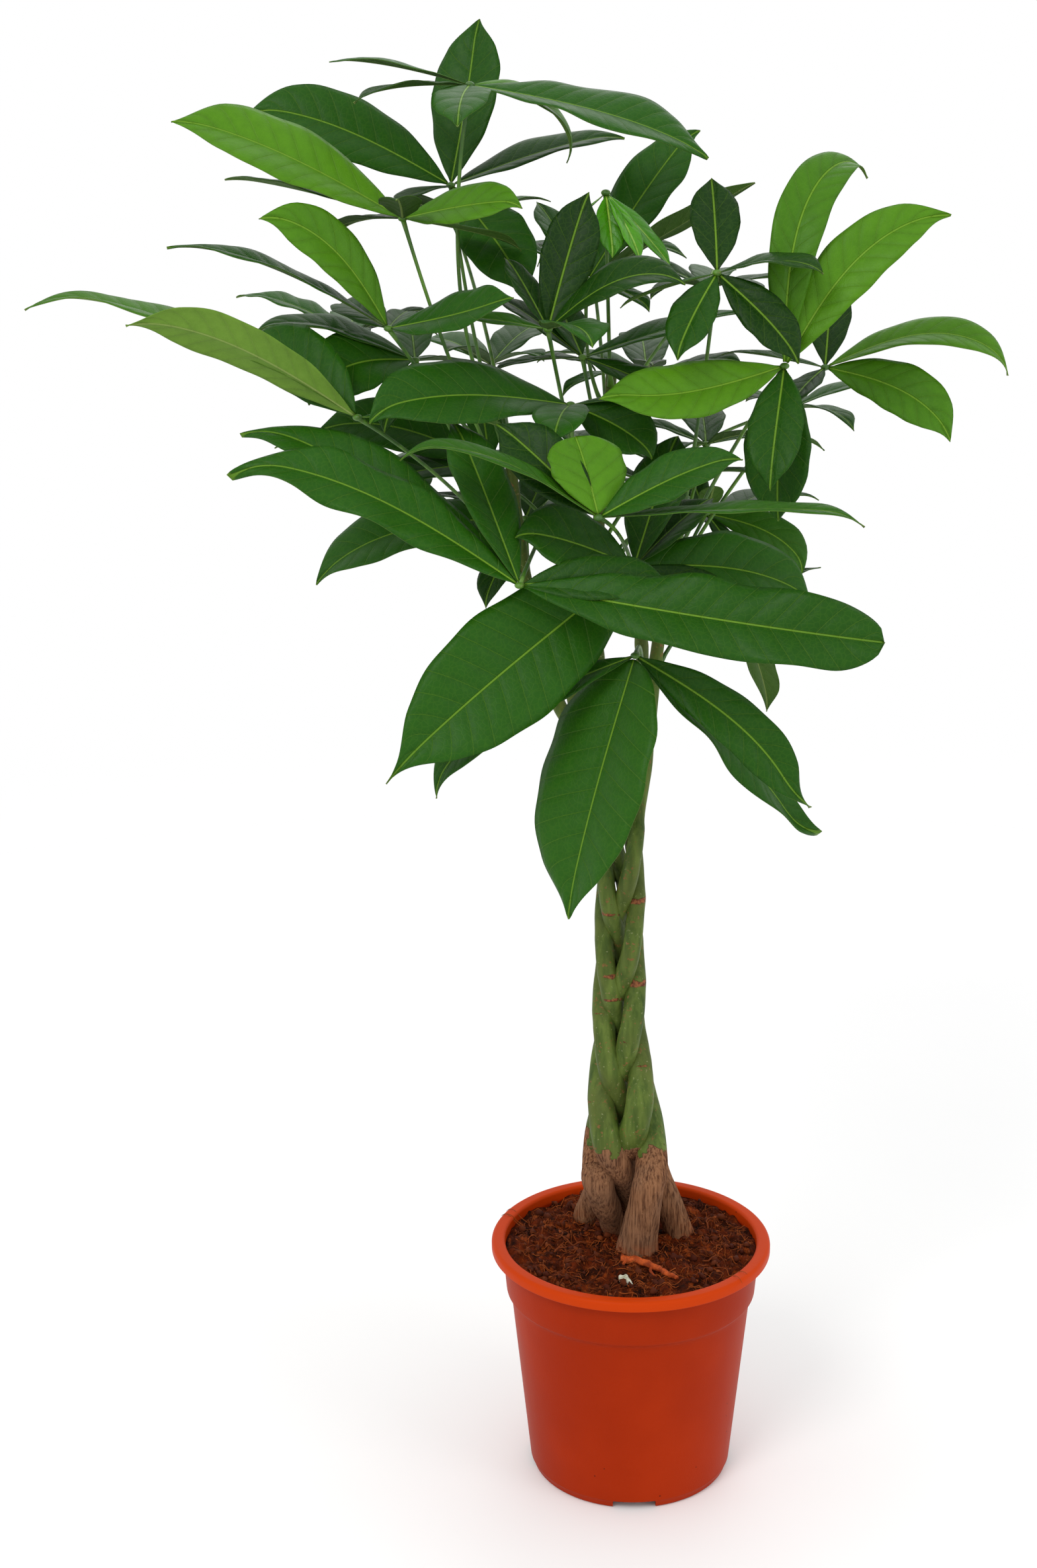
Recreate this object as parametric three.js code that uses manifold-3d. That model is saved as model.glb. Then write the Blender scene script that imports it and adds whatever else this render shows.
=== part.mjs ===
// A potted money tree (Pachira): five stems plaited into one trunk, palmate leaves of four to six
// leaflets on long stalks, and fibrous soil in a plastic nursery pot.
// Millimetres, +Z up. The origin is on the pot's axis, on the surface that the pot stands on.
// +X is to the right and -Y to the front of the pot.

import * as THREE from 'three';
import { mergeVertices } from 'three/addons/utils/BufferGeometryUtils.js';
import Module from 'manifold-3d';

const wasm = await Module();
wasm.setup();

// ---- driving sizes ----

const GAP = 0.35; // clearance between neighbouring pieces

// pot
const POT_HEIGHT = 186;
const RIM_RADIUS = 105;
const RIM_DEPTH = 8; // height of the rolled lip
const RIM_ROUND = 2.6; // radius of the lip's rounded edge
const COLLAR_DEPTH = 40; // from the top of the rim to the step under the collar
const COLLAR_TOP_RADIUS = RIM_RADIUS - 8.5;
const COLLAR_FOOT_RADIUS = RIM_RADIUS - 11;
const COLLAR_STEP = 3.2; // how far the wall steps in under the collar
const BASE_RADIUS = 0.71 * RIM_RADIUS;
const BASE_ROUND = 2.4; // how far the wall rounds in at its foot
const WALL = 1.8;
const FLOOR_RAISE = 4; // underside of the floor above the surface
const FLOOR_THICKNESS = 2.2;
const FOOT_RING_WIDTH = 5;
const PAD_RADIUS = 0.3 * BASE_RADIUS; // flat pad under the middle of the floor
const NOTCH_WIDTH = 32;
const NOTCH_HEIGHT = 6.5;
const NOTCH_COUNT = 4;
const NOTCH_FLARE = 2.5; // how much further out each side of a notch is at its lower edge
const NOTCH_STRAIGHT = 2; // height of the straight part at the top of a notch
const DRAIN_RADIUS = 5;
const DRAIN_CIRCLE = 0.62 * BASE_RADIUS;
const DRAIN_COUNT = 6;
const DRAIN_SIDES = 10;
const CUT_MARGIN = 2; // how far a cut goes on past the face it opens
const POT_SIDES = 32;

// soil
const SOIL_BELOW_RIM = 8; // at the edge of the soil
const SOIL_CROWN = 5; // how much higher the soil is at the trunk
const SOIL_RING_SHARES = [0.8, 0.5, 0.25]; // rings of the soil's top, as shares of its radius

// plaited trunk: heights in the plant are counted with the crown of the soil at PLANT_SOIL_HEIGHT,
// and the places of shoots and leaves with the top of the plait at CROWN_PLAIT_TOP
const PLANT_SOIL_HEIGHT = 183;
const CROWN_PLAIT_TOP = 520;
const STEM_COUNT = 5;
const STEM_RADIUS = 5.2;
const STEM_TIP_RADIUS = 3.4;
const STEM_THICKENING = 0.02; // extra radius for each millimetre below PLAIT_LOOSE
const STEM_ROOTED = 24; // how far a stem goes down below the edge of the soil
const STEM_SPLAY = 1.1; // how much further out a stem's lower end is than its foot
const STEM_SIDES = 7;
const STEM_STEPS = 38;
const PLAIT_PITCH = 310; // height in which a stem goes once round the plait
const PLAIT_FOOT = 232;
const PLAIT_TOP = PLAIT_FOOT + 0.929 * PLAIT_PITCH;
const PLAIT_PHASE_HEIGHT = PLAIT_FOOT + 0.5484 * PLAIT_PITCH; // first stem outermost on the right
const PLAIT_STEEPNESS = Math.hypot(1, 150 / PLAIT_PITCH); // a shorter pitch lays the stems flatter
const PLAIT_HALF_WIDTH = 2.27 * STEM_RADIUS * PLAIT_STEEPNESS;
const PLAIT_WIDENING = 0.08; // extra half width for each millimetre below PLAIT_LOOSE
const PLAIT_LOOSE = 350;
const PLAIT_HALF_DEPTH = 2.07 * STEM_RADIUS * PLAIT_STEEPNESS;
const PLAIT_DEEPENING = 0.06; // extra half depth for each millimetre below PLAIT_LOOSE
const PLAIT_SAMPLES = 16;
const FLARE_TOP = 246; // below this height the stems thicken to their feet
const TRUNK_LEAN = -9; // the plait's middle stands this far to the left of the pot's axis

// leaves
const PETIOLE_RADIUS = 1.7;
const PETIOLE_SIDES = 4;
const PETIOLE_STEPS = 4;
const PETIOLE_OUT = 0.2; // where a stalk bends over, out from the stem and up, as shares of its reach
const PETIOLE_UP = 0.35;
const HUB_RADIUS = 4;
const BLADE_START = 2.6; // a blade's stalk starts this far out, inside the hub
const BLADE_THICKNESS = 1.5;
const BLADE_ASPECT = 0.36; // a leaflet's width as a share of its length, where it has no width of its own
const BLADE_FOLD = 14; // degrees that each half of a blade is folded up from flat
const BLADE_STALK_HALF_WIDTH = 1.4;
const BLADE_STATIONS = [0, 0.22, 0.52, 0.82];
const BLADE_WEDGE = 0.9; // how slender a blade's base is
const BLADE_POINT = 0.75; // how slender a blade's tip is
const BLADE_SAMPLES = 12;

// the regular fans of leaflets behind and inside the crown, in degrees except for the length
const FAN_RISE = 16;
const FAN_RISE_SWAY = 8;
const FAN_DROOP = -38;
const FAN_DROOP_SWAY = 12;
const FAN_ROLL_SWAY = 10;
const FAN_LENGTH_SWAY = 0.18; // how much shorter a leaflet that points back to the trunk is
const FAN_TURNS = [2.1, 1.7, 3]; // steps of rise, droop and roll from one leaflet to the next

const rad = THREE.MathUtils.degToRad;
const vec = (x, y, z) => new THREE.Vector3(x, y, z);

// ---- closed solids ----

function closedMesh(points, faces) {
  const geometry = new THREE.BufferGeometry();
  const flat = points.flatMap((p) => [p.x, p.y, p.z]);
  geometry.setAttribute('position', new THREE.Float32BufferAttribute(flat, 3));
  geometry.setIndex(faces.flat());
  return geometry;
}

// Skins a list of rings that all have the same number of points, and closes both ends with a fan.
function loft(rings) {
  const n = rings[0].length;
  const last = (rings.length - 1) * n;
  const faces = [];
  for (let k = 0; k < rings.length - 1; k += 1) {
    for (let i = 0; i < n; i += 1) {
      const j = (i + 1) % n;
      const a = k * n;
      faces.push([a + i, a + j, a + n + j]);
      faces.push([a + i, a + n + j, a + n + i]);
    }
  }
  for (let i = 1; i < n - 1; i += 1) {
    faces.push([0, i + 1, i]);
    faces.push([last, last + i, last + i + 1]);
  }
  return closedMesh(rings.flat(), faces);
}

function toSolid(source) {
  const geometry = source.clone();
  geometry.deleteAttribute('normal');
  geometry.deleteAttribute('uv');
  const merged = mergeVertices(geometry, 1e-4);
  const vertProperties = new Float32Array(merged.attributes.position.array);
  const triVerts = new Uint32Array(merged.index.array);
  return new wasm.Manifold(new wasm.Mesh({ numProp: 3, vertProperties, triVerts }));
}

function toGeometry(solid) {
  const mesh = solid.getMesh();
  const geometry = new THREE.BufferGeometry();
  geometry.setAttribute('position', new THREE.Float32BufferAttribute(mesh.vertProperties, 3));
  geometry.setIndex(Array.from(mesh.triVerts));
  return geometry;
}

const join = (solids) => solids.reduce((all, solid) => all.add(solid));

// A lathe turned about the pot's axis, from a profile of [radius, height] points.
function turned(profile) {
  const points = profile.map(([r, z]) => new THREE.Vector2(r, z));
  return new THREE.LatheGeometry(points, POT_SIDES).rotateX(Math.PI / 2);
}

const group = new THREE.Group();

function addPart(name, geometry, color, roughness) {
  const material = new THREE.MeshStandardMaterial({ color, roughness, metalness: 0 });
  const mesh = new THREE.Mesh(geometry, material);
  mesh.name = name;
  group.add(mesh);
}

// ---- pot ----

const collarFoot = POT_HEIGHT - COLLAR_DEPTH;
const wallTopRadius = COLLAR_FOOT_RADIUS - COLLAR_STEP;
const floorTop = FLOOR_RAISE + FLOOR_THICKNESS;
const rimFoot = POT_HEIGHT - RIM_DEPTH;

// Radius of the pot's outer wall at a height under the collar.
function wallRadius(z) {
  return THREE.MathUtils.lerp(BASE_RADIUS + BASE_ROUND * 0.5, wallTopRadius, z / collarFoot);
}

// Radius of the inside of the pot at a height above its floor.
function insideRadius(z) {
  if (z < collarFoot) {
    return wallRadius(z) - WALL;
  }
  const up = (z - collarFoot) / (rimFoot - collarFoot);
  return THREE.MathUtils.lerp(COLLAR_FOOT_RADIUS, COLLAR_TOP_RADIUS, Math.min(up, 1)) - WALL;
}

function rimArc(steps) {
  const arc = [];
  for (let i = 0; i <= steps; i += 1) {
    const a = (Math.PI / 2) * (i / steps);
    const r = RIM_RADIUS - RIM_ROUND + RIM_ROUND * Math.cos(a);
    arc.push([r, POT_HEIGHT - RIM_ROUND + RIM_ROUND * Math.sin(a)]);
  }
  return arc;
}

function potSolid() {
  const inner = BASE_RADIUS - FOOT_RING_WIDTH;
  const rimInside = insideRadius(rimFoot);
  const profile = [
    [0, 0],
    [PAD_RADIUS, 0],
    [PAD_RADIUS, FLOOR_RAISE],
    [inner, FLOOR_RAISE],
    [inner, 0],
    [BASE_RADIUS - BASE_ROUND, 0],
    [BASE_RADIUS, BASE_ROUND],
    [wallRadius(NOTCH_HEIGHT), NOTCH_HEIGHT],
    [wallTopRadius, collarFoot - COLLAR_STEP],
    [COLLAR_FOOT_RADIUS, collarFoot],
    [COLLAR_TOP_RADIUS, rimFoot - WALL],
    [RIM_RADIUS, rimFoot],
    ...rimArc(3),
    [rimInside + RIM_ROUND, POT_HEIGHT],
    [rimInside, POT_HEIGHT - RIM_ROUND],
    [insideRadius(collarFoot), collarFoot],
    [insideRadius(collarFoot - COLLAR_STEP), collarFoot - COLLAR_STEP],
    [insideRadius(floorTop), floorTop],
    [0, floorTop],
  ];
  return toSolid(turned(profile));
}

// A slot through the foot ring, wider at its open lower edge.
function notchSolid(angle) {
  const half = NOTCH_WIDTH / 2;
  const shoulder = NOTCH_HEIGHT - NOTCH_STRAIGHT;
  const outline = new THREE.Shape();
  outline.moveTo(-half - NOTCH_FLARE, -CUT_MARGIN);
  outline.lineTo(half + NOTCH_FLARE, -CUT_MARGIN);
  outline.lineTo(half, shoulder);
  outline.lineTo(half, NOTCH_HEIGHT);
  outline.lineTo(-half, NOTCH_HEIGHT);
  outline.lineTo(-half, shoulder);
  const start = BASE_RADIUS - FOOT_RING_WIDTH - CUT_MARGIN;
  const depth = wallRadius(NOTCH_HEIGHT) + CUT_MARGIN - start;
  const slot = new THREE.ExtrudeGeometry(outline, { depth, bevelEnabled: false });
  slot.rotateX(Math.PI / 2);
  slot.translate(0, -start, 0);
  return toSolid(slot.rotateZ(angle));
}

function drainSolid(angle) {
  const height = 2 * (floorTop + CUT_MARGIN);
  const hole = new THREE.CylinderGeometry(DRAIN_RADIUS, DRAIN_RADIUS, height, DRAIN_SIDES);
  hole.rotateX(Math.PI / 2);
  hole.translate(DRAIN_CIRCLE, 0, 0);
  return toSolid(hole.rotateZ(angle));
}

function buildPot() {
  let pot = potSolid();
  for (let i = 0; i < NOTCH_COUNT; i += 1) {
    // The slot is cut through the ring only: the floor above it stays whole.
    pot = pot.subtract(notchSolid((i * 2 * Math.PI) / NOTCH_COUNT));
  }
  for (let i = 0; i < DRAIN_COUNT; i += 1) {
    pot = pot.subtract(drainSolid(((i + 0.5) * 2 * Math.PI) / DRAIN_COUNT));
  }
  addPart('pot', toGeometry(pot), 0xb8401a, 0.45);
}

// ---- stems ----

// Where each stem stands in the soil, how thick it is there, and the shoot that it makes above the plait.
const STEMS = [
  {
    name: 'stem_left_front',
    foot: [-12, 15],
    footRadius: 7,
    shoot: [[-25, -12, 562], [-43, -8, 608], [-45, -6, 679], [-38, -10, 776]],
  },
  {
    name: 'stem_left_back',
    foot: [-31, 40],
    footRadius: 9.5,
    shoot: [[-36, 14, 571], [-54, 12, 600], [-74, 10, 676], [-88, 10, 796]],
  },
  {
    name: 'stem_middle',
    foot: [4, -15],
    footRadius: 14.5,
    shoot: [[3, -18, 562], [5, -26, 617], [3, -40, 658], [-1, -55, 697]],
  },
  {
    name: 'stem_right_front',
    foot: [37, 14],
    footRadius: 9.5,
    shoot: [[9, 2, 557], [14, 8, 609], [22, 15, 666], [33, 20, 721]],
  },
  {
    name: 'stem_right_back',
    foot: [5, 37],
    footRadius: 7.5,
    shoot: [[-14, 20, 572], [-24, 28, 625], [-25, 40, 694], [-13, 60, 828]],
  },
];

const soilEdge = POT_HEIGHT - SOIL_BELOW_RIM;
const plantLift = soilEdge + SOIL_CROWN - PLANT_SOIL_HEIGHT;
const crownLift = PLAIT_TOP - CROWN_PLAIT_TOP;

function plaitCentre(z) {
  const up = (z - PLANT_SOIL_HEIGHT) / (PLAIT_LOOSE - PLANT_SOIL_HEIGHT);
  return TRUNK_LEAN * THREE.MathUtils.clamp(up, 0, 1);
}

// The plait is a flat figure of eight seen from above: going down, a stem passes in front of the
// middle from either edge, and back out to the edges behind it.
function plaitPoint(index, z) {
  const turns = (PLAIT_PHASE_HEIGHT - z) / PLAIT_PITCH - index / STEM_COUNT;
  const angle = 2 * Math.PI * turns;
  const below = Math.max(PLAIT_LOOSE - z, 0);
  const halfWidth = PLAIT_HALF_WIDTH + PLAIT_WIDENING * below;
  const halfDepth = PLAIT_HALF_DEPTH + PLAIT_DEEPENING * below;
  const x = plaitCentre(z) + halfWidth * Math.cos(angle);
  return vec(x, -halfDepth * Math.sin(2 * angle), z);
}

function stemCurve(index) {
  const { foot, shoot } = STEMS[index];
  const [x, y] = foot;
  const rooted = PLANT_SOIL_HEIGHT - SOIL_CROWN - STEM_ROOTED;
  const points = [vec(x * STEM_SPLAY, y * STEM_SPLAY, rooted), vec(x, y, PLANT_SOIL_HEIGHT)];
  for (let i = 0; i <= PLAIT_SAMPLES; i += 1) {
    const z = THREE.MathUtils.lerp(PLAIT_FOOT, PLAIT_TOP, i / PLAIT_SAMPLES);
    points.push(plaitPoint(index, z));
  }
  points.push(...shoot.map(([px, py, pz]) => vec(px, py, pz + crownLift)));
  return new THREE.CatmullRomCurve3(points, false, 'centripetal');
}

const stemCurves = STEMS.map((_, index) => stemCurve(index));

function stemRadius(index, z) {
  const { footRadius, shoot } = STEMS[index];
  const tipHeight = shoot[shoot.length - 1][2] + crownLift;
  if (z > PLAIT_TOP) {
    const up = (z - PLAIT_TOP) / (tipHeight - PLAIT_TOP);
    return THREE.MathUtils.lerp(STEM_RADIUS, STEM_TIP_RADIUS, up);
  }
  const body = STEM_RADIUS + STEM_THICKENING * Math.max(PLAIT_LOOSE - z, 0);
  const below = (FLARE_TOP - z) / (FLARE_TOP - PLANT_SOIL_HEIGHT);
  const down = THREE.MathUtils.clamp(below, 0, 1);
  return THREE.MathUtils.lerp(body, footRadius, down * down);
}

// Rings of points square to a curve, without twist.
function ringsAlong(curve, steps, sides, radiusAt) {
  const frames = curve.computeFrenetFrames(steps, false);
  const rings = [];
  for (let k = 0; k <= steps; k += 1) {
    const centre = curve.getPointAt(k / steps);
    const radius = radiusAt(k / steps, centre);
    const ring = [];
    for (let i = 0; i < sides; i += 1) {
      const a = (2 * Math.PI * i) / sides;
      const out = frames.normals[k].clone().multiplyScalar(Math.cos(a));
      out.addScaledVector(frames.binormals[k], Math.sin(a));
      ring.push(centre.clone().addScaledVector(out, radius));
    }
    rings.push(ring);
  }
  return rings;
}

function stemGeometry(index, extra) {
  const radiusAt = (t, centre) => stemRadius(index, centre.z) + extra;
  const rings = ringsAlong(stemCurves[index], STEM_STEPS, STEM_SIDES, radiusAt);
  return loft(rings).translate(0, 0, plantLift);
}

function buildStems() {
  STEMS.forEach((stem, index) => addPart(stem.name, stemGeometry(index, 0), 0x5f7a3a, 0.6));
}

// ---- soil ----

function soilHeight(r) {
  const out = Math.min(r / (insideRadius(soilEdge) - GAP), 1);
  return soilEdge + SOIL_CROWN * (1 - out * out);
}

function buildSoil() {
  const profile = [[0, floorTop + GAP], [insideRadius(floorTop) - 2 * GAP, floorTop + GAP]];
  for (const z of [collarFoot - COLLAR_STEP, collarFoot, soilEdge]) {
    profile.push([insideRadius(z) - 2 * GAP, z]);
  }
  for (const share of SOIL_RING_SHARES) {
    const r = share * insideRadius(soilEdge);
    profile.push([r, soilHeight(r)]);
  }
  profile.push([0, soilHeight(0)]);
  let soil = toSolid(turned(profile));
  STEMS.forEach((stem, index) => {
    soil = soil.subtract(toSolid(stemGeometry(index, GAP)));
  });
  addPart('soil', toGeometry(soil), 0x5a2410, 0.95);
}

// ---- what lies on the soil ----

const ROOT_RADIUS = 3.2;
const ROOT_END_RADIUS = 1.6;
const ROOT_PATH = [[-9, -36], [3, -38], [13, -45], [22, -54], [31, -63]];
const ROOT_SIDES = 6;
const ROOT_STEPS = 6;
const CHIP_PLACE = [-7, -66];
const CHIP_RADIUS = 3.4;
const CHIP_LENGTHENED = 1.5;
const CHIP_FLATTENED = 0.8;

// A piece of bared root that runs forward from the foot of the front stem.
function buildSurfaceRoot() {
  const points = ROOT_PATH.map(([x, y]) => {
    return vec(x, y, soilHeight(Math.hypot(x, y)) + ROOT_RADIUS + GAP);
  });
  const curve = new THREE.CatmullRomCurve3(points);
  const radiusAt = (t) => THREE.MathUtils.lerp(ROOT_RADIUS, ROOT_END_RADIUS, t);
  const rings = ringsAlong(curve, ROOT_STEPS, ROOT_SIDES, radiusAt);
  addPart('surface_root', loft(rings), 0xa04a20, 0.8);
}

function buildChip() {
  const chip = new THREE.IcosahedronGeometry(CHIP_RADIUS, 0);
  chip.scale(1, CHIP_LENGTHENED, CHIP_FLATTENED);
  const [x, y] = CHIP_PLACE;
  const height = soilHeight(Math.hypot(x, y)) + CHIP_RADIUS * CHIP_FLATTENED + GAP;
  addPart('pale_chip', toGeometry(toSolid(chip.translate(x, y, height))), 0xb8b4a4, 0.8);
}

// ---- leaves ----

// Each leaf has the stem it grows from, the height of its node on that stem, the hub [x, y, z] where
// its leaflets meet, and its leaflets. A leaflet is [bearing, rise, droop, length, roll, width]:
// bearing in degrees from +X towards +Y, rise of its first stretch above level, droop added by its
// tip, length, roll about its own line, and a width where it is not the usual share of its length.
const LEAVES = [
  // left crown
  {
    name: 'leaf_top_left',
    stem: 1,
    node: 786,
    hub: [-110, 10, 1020],
    leaflets: [
      [170, 15, -15, 95, 0],
      [215, 0, -20, 90, 0],
      [265, -10, -25, 85, 0, 38],
      [25, -5, -95, 100, 25],
      [350, -10, -20, 165, 20],
    ],
  },
  {
    name: 'leaf_top_behind',
    stem: 1,
    node: 768,
    hub: [-125, 60, 955],
    leaflets: [
      [65, 65, 10, 120, 0, 50],
      [180, 30, -30, 150, -50],
      [10, 20, -15, 125, 15],
      [310, -35, -20, 105, 30, 48],
      [240, -5, -10, 70, 0],
    ],
  },
  {
    name: 'leaf_upper_left',
    stem: 1,
    node: 750,
    hub: [-155, -20, 935],
    leaflets: [
      [190, 30, -20, 160, -40],
      [160, 15, -10, 130, 0],
      [130, 0, -20, 80, 0],
      [325, 10, -10, 95, 45],
      [20, -10, -10, 85, 0],
      [270, 15, -10, 70, 0, 28],
    ],
  },
  {
    name: 'leaf_left_curled',
    stem: 1,
    node: 730,
    hub: [-165, -40, 865],
    leaflets: [
      [200, 60, -60, 115, -65, 36],
      [175, 30, -30, 155, 0, 40],
      [120, 15, -20, 80, -20],
      [322, 10, 10, 105, 40],
      [80, 10, -10, 60, 0],
    ],
  },
  {
    name: 'leaf_left_long',
    stem: 1,
    node: 690,
    hub: [-185, -70, 810],
    leaflets: [
      [190, 35, -35, 160, 50, 48],
      [170, 30, -35, 240, 0, 44],
      [140, 35, -20, 105, -45, 45],
      [20, 0, -20, 105, 0],
    ],
  },
  {
    name: 'leaf_left_inner',
    stem: 1,
    node: 710,
    hub: [-150, 10, 840],
    leaflets: [
      [180, 25, -45, 115, -10],
      [212, 5, -70, 90, -45, 50],
      [250, -30, -20, 70, 10],
      [95, 20, -10, 80, 0],
    ],
  },
  {
    name: 'leaf_left_shaded',
    stem: 1,
    node: 718,
    hub: [-100, 40, 765],
    leaflets: [
      [175, 25, -45, 125, -40, 48],
      [205, 0, -20, 90, -20, 40],
      [20, 35, -20, 60, 0],
      [100, 50, -10, 85, 0],
    ],
  },
  // middle crown
  {
    name: 'leaf_middle_front',
    stem: 0,
    node: 766,
    hub: [-60, -60, 865],
    leaflets: [
      [45, 68, -6, 92, 50, 36],
      [345, 40, -70, 100, 30, 40],
      [165, 10, -20, 80, -10],
      [290, 10, -40, 80, 0, 40],
      [130, 50, -10, 60, 0],
    ],
  },
  {
    name: 'leaf_glossy',
    stem: 0,
    node: 748,
    hub: [-45, -50, 815],
    leaflets: [
      [205, 10, -30, 145, -35, 60],
      [260, 0, -40, 75, 0, 36],
      [340, -20, -30, 65, 40, 42],
      [10, 5, -20, 90, 0],
      [70, -16, -20, 60, 0],
    ],
  },
  {
    name: 'leaf_middle_inner',
    stem: 4,
    node: 770,
    hub: [-35, 20, 840],
    leaflets: [
      [2, 18, -10, 115, 10],
      [198, 0, -20, 66, 0],
      [330, -15, -20, 75, 20],
      [140, 30, -10, 85, 0],
      [108, 35, -10, 75, 0],
    ],
  },
  {
    name: 'leaf_middle_high',
    stem: 4,
    node: 800,
    hub: [-30, 60, 890],
    leaflets: [
      [20, 55, -10, 130, 30, 48],
      [350, 30, 0, 130, -15, 40],
      [170, 30, -10, 65, 0, 30],
      [120, 40, -10, 85, 0],
      [315, -10, -20, 60, 0],
    ],
  },
  {
    name: 'leaf_young',
    stem: 4,
    node: 818,
    hub: [-20, 0, 950],
    leaflets: [
      [195, -40, -10, 65, 0, 16],
      [280, -55, -20, 45, 0, 20],
      [320, -50, -20, 50, 0, 20],
      [0, -45, -10, 65, 30, 20],
    ],
  },
  {
    name: 'leaf_low_left',
    stem: 1,
    node: 664,
    hub: [-75, 45, 725],
    leaflets: [
      [185, 0, -50, 160, -30, 56],
      [140, 10, -15, 100, 0],
      [235, -40, -20, 75, 0],
      [75, 25, -10, 85, 0],
      [345, -30, -50, 60, 0, 24],
    ],
  },
  // right crown
  {
    name: 'leaf_right_middle',
    stem: 3,
    node: 714,
    hub: [50, -60, 900],
    leaflets: [
      [90, 50, 0, 75, 0, 33],
      [235, -40, -15, 70, -20, 30],
      [340, 15, -45, 70, 10, 34],
      [335, -38, -20, 78, 58, 30],
      [55, -20, -20, 85, 0],
      [170, -15, -10, 65, 0],
    ],
  },
  {
    name: 'leaf_right_front',
    stem: 3,
    node: 700,
    hub: [95, -60, 840],
    leaflets: [
      [50, 90, -120, 185, 35, 34],
      [10, 60, -60, 150, 60, 40],
      [200, -14, 30, 130, -50, 42],
      [255, -45, -30, 90, 0, 36],
      [245, -80, -20, 100, 0, 46],
    ],
  },
  {
    name: 'leaf_right_far',
    stem: 3,
    node: 684,
    hub: [135, 40, 830],
    leaflets: [
      [355, 25, -85, 140, 25, 36],
      [335, -10, -55, 105, 50, 40],
      [80, 45, -10, 85, 0, 32],
      [155, 10, -10, 75, 0],
      [240, -15, -10, 60, 0],
    ],
  },
  {
    name: 'leaf_right_low',
    stem: 3,
    node: 666,
    hub: [55, 60, 725],
    leaflets: [
      [280, 50, -10, 30, 0, 18],
      [345, -10, -60, 85, 40, 32],
      [300, -30, -30, 45, 0],
      [105, 35, -10, 60, 0],
      [50, 0, -10, 70, 0],
    ],
  },
  {
    name: 'leaf_right_under',
    stem: 3,
    node: 620,
    hub: [75, 70, 660],
    leaflets: [
      [35, -60, -20, 95, 0, 34],
      [15, 20, -10, 70, 0],
      [200, -20, -10, 60, 0],
      [70, 35, -10, 75, 0],
    ],
  },
  // front crown
  {
    name: 'leaf_front_light',
    stem: 2,
    node: 695,
    hub: [-30, -150, 755],
    leaflets: [
      [115, 60, -15, 55, 0, 52],
      [355, 30, -20, 95, 40, 38],
      [150, 40, -10, 90, -45, 40],
      [185, 35, -50, 135, -10, 30],
      [350, 5, -10, 165, 5, 28],
    ],
  },
  {
    name: 'leaf_front_great',
    stem: 0,
    node: 720,
    hub: [-80, -142, 711],
    leaflets: [
      [160, 35, -25, 215, -35, 44],
      [180, 35, -35, 200, -45, 44],
      [348, -8, 2, 230, 55, 52],
      [358, 6, -20, 96, 50, 34],
      [130, 60, -10, 120, 0, 42],
    ],
  },
  {
    name: 'leaf_front_middle',
    stem: 2,
    node: 676,
    hub: [-5, -100, 715],
    leaflets: [
      [200, 25, -20, 85, -50, 50],
      [8, 0, -40, 125, 45, 54],
      [60, 55, -10, 100, 0, 40],
      [35, 35, -10, 75, 0, 44],
      [205, -32, -8, 215, -65, 77],
      [345, -22, -20, 88, 60, 36],
    ],
  },
  {
    name: 'leaf_front_hanging',
    stem: 2,
    node: 630,
    hub: [-5, -120, 660],
    leaflets: [
      [185, -20, -40, 165, -25, 40],
      [225, -65, -10, 175, 0, 90],
      [345, -28, -45, 150, 65, 34],
      [20, -42, -20, 195, 60, 34],
    ],
  },
];

// Leaves behind and inside the crown, each a regular fan of leaflets round its hub.
const BACK_LEAVES = [
  { stem: 1, node: 778, hub: [-125, 165, 925], turn: 20, count: 5, size: 100 },
  { stem: 4, node: 790, hub: [-25, 175, 905], turn: 50, count: 6, size: 95 },
  { stem: 4, node: 780, hub: [60, 130, 880], turn: 10, count: 5, size: 100 },
  { stem: 1, node: 740, hub: [-200, 120, 850], turn: 35, count: 6, size: 100 },
  { stem: 1, node: 735, hub: [-100, 200, 820], turn: 5, count: 6, size: 110 },
  { stem: 4, node: 750, hub: [20, 205, 810], turn: 30, count: 6, size: 110 },
  { stem: 4, node: 702, hub: [125, 150, 790], turn: 15, count: 5, size: 95 },
  { stem: 0, node: 700, hub: [-165, 150, 745], turn: 40, count: 6, size: 110 },
  { stem: 4, node: 720, hub: [-40, 175, 720], turn: 10, count: 6, size: 110 },
  { stem: 4, node: 676, hub: [70, 160, 705], turn: 50, count: 5, size: 100 },
  { stem: 3, node: 695, hub: [54, 58, 775], turn: 17, count: 5, size: 95 },
  { stem: 0, node: 701, hub: [-24, 95, 761], turn: 29, count: 5, size: 94 },
  { stem: 4, node: 668, hub: [13, 7, 753], turn: 67, count: 5, size: 81 },
];

function fanOfLeaflets({ hub, turn, count, size }) {
  const outward = THREE.MathUtils.radToDeg(Math.atan2(hub[1], hub[0]));
  const [riseTurn, droopTurn, rollTurn] = FAN_TURNS;
  const leaflets = [];
  for (let i = 0; i < count; i += 1) {
    const bearing = turn + (360 * i) / count;
    const length = size * (1 - FAN_LENGTH_SWAY * (1 - Math.cos(rad(bearing - outward))));
    const rise = FAN_RISE + FAN_RISE_SWAY * Math.sin(riseTurn * i + turn);
    const droop = FAN_DROOP + FAN_DROOP_SWAY * Math.cos(droopTurn * i + turn);
    leaflets.push([bearing, rise, droop, length, FAN_ROLL_SWAY * Math.sin(rollTurn * i)]);
  }
  return leaflets;
}

BACK_LEAVES.forEach((leaf, i) => {
  LEAVES.push({ ...leaf, name: `leaf_back_${i + 1}`, leaflets: fanOfLeaflets(leaf) });
});

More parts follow.
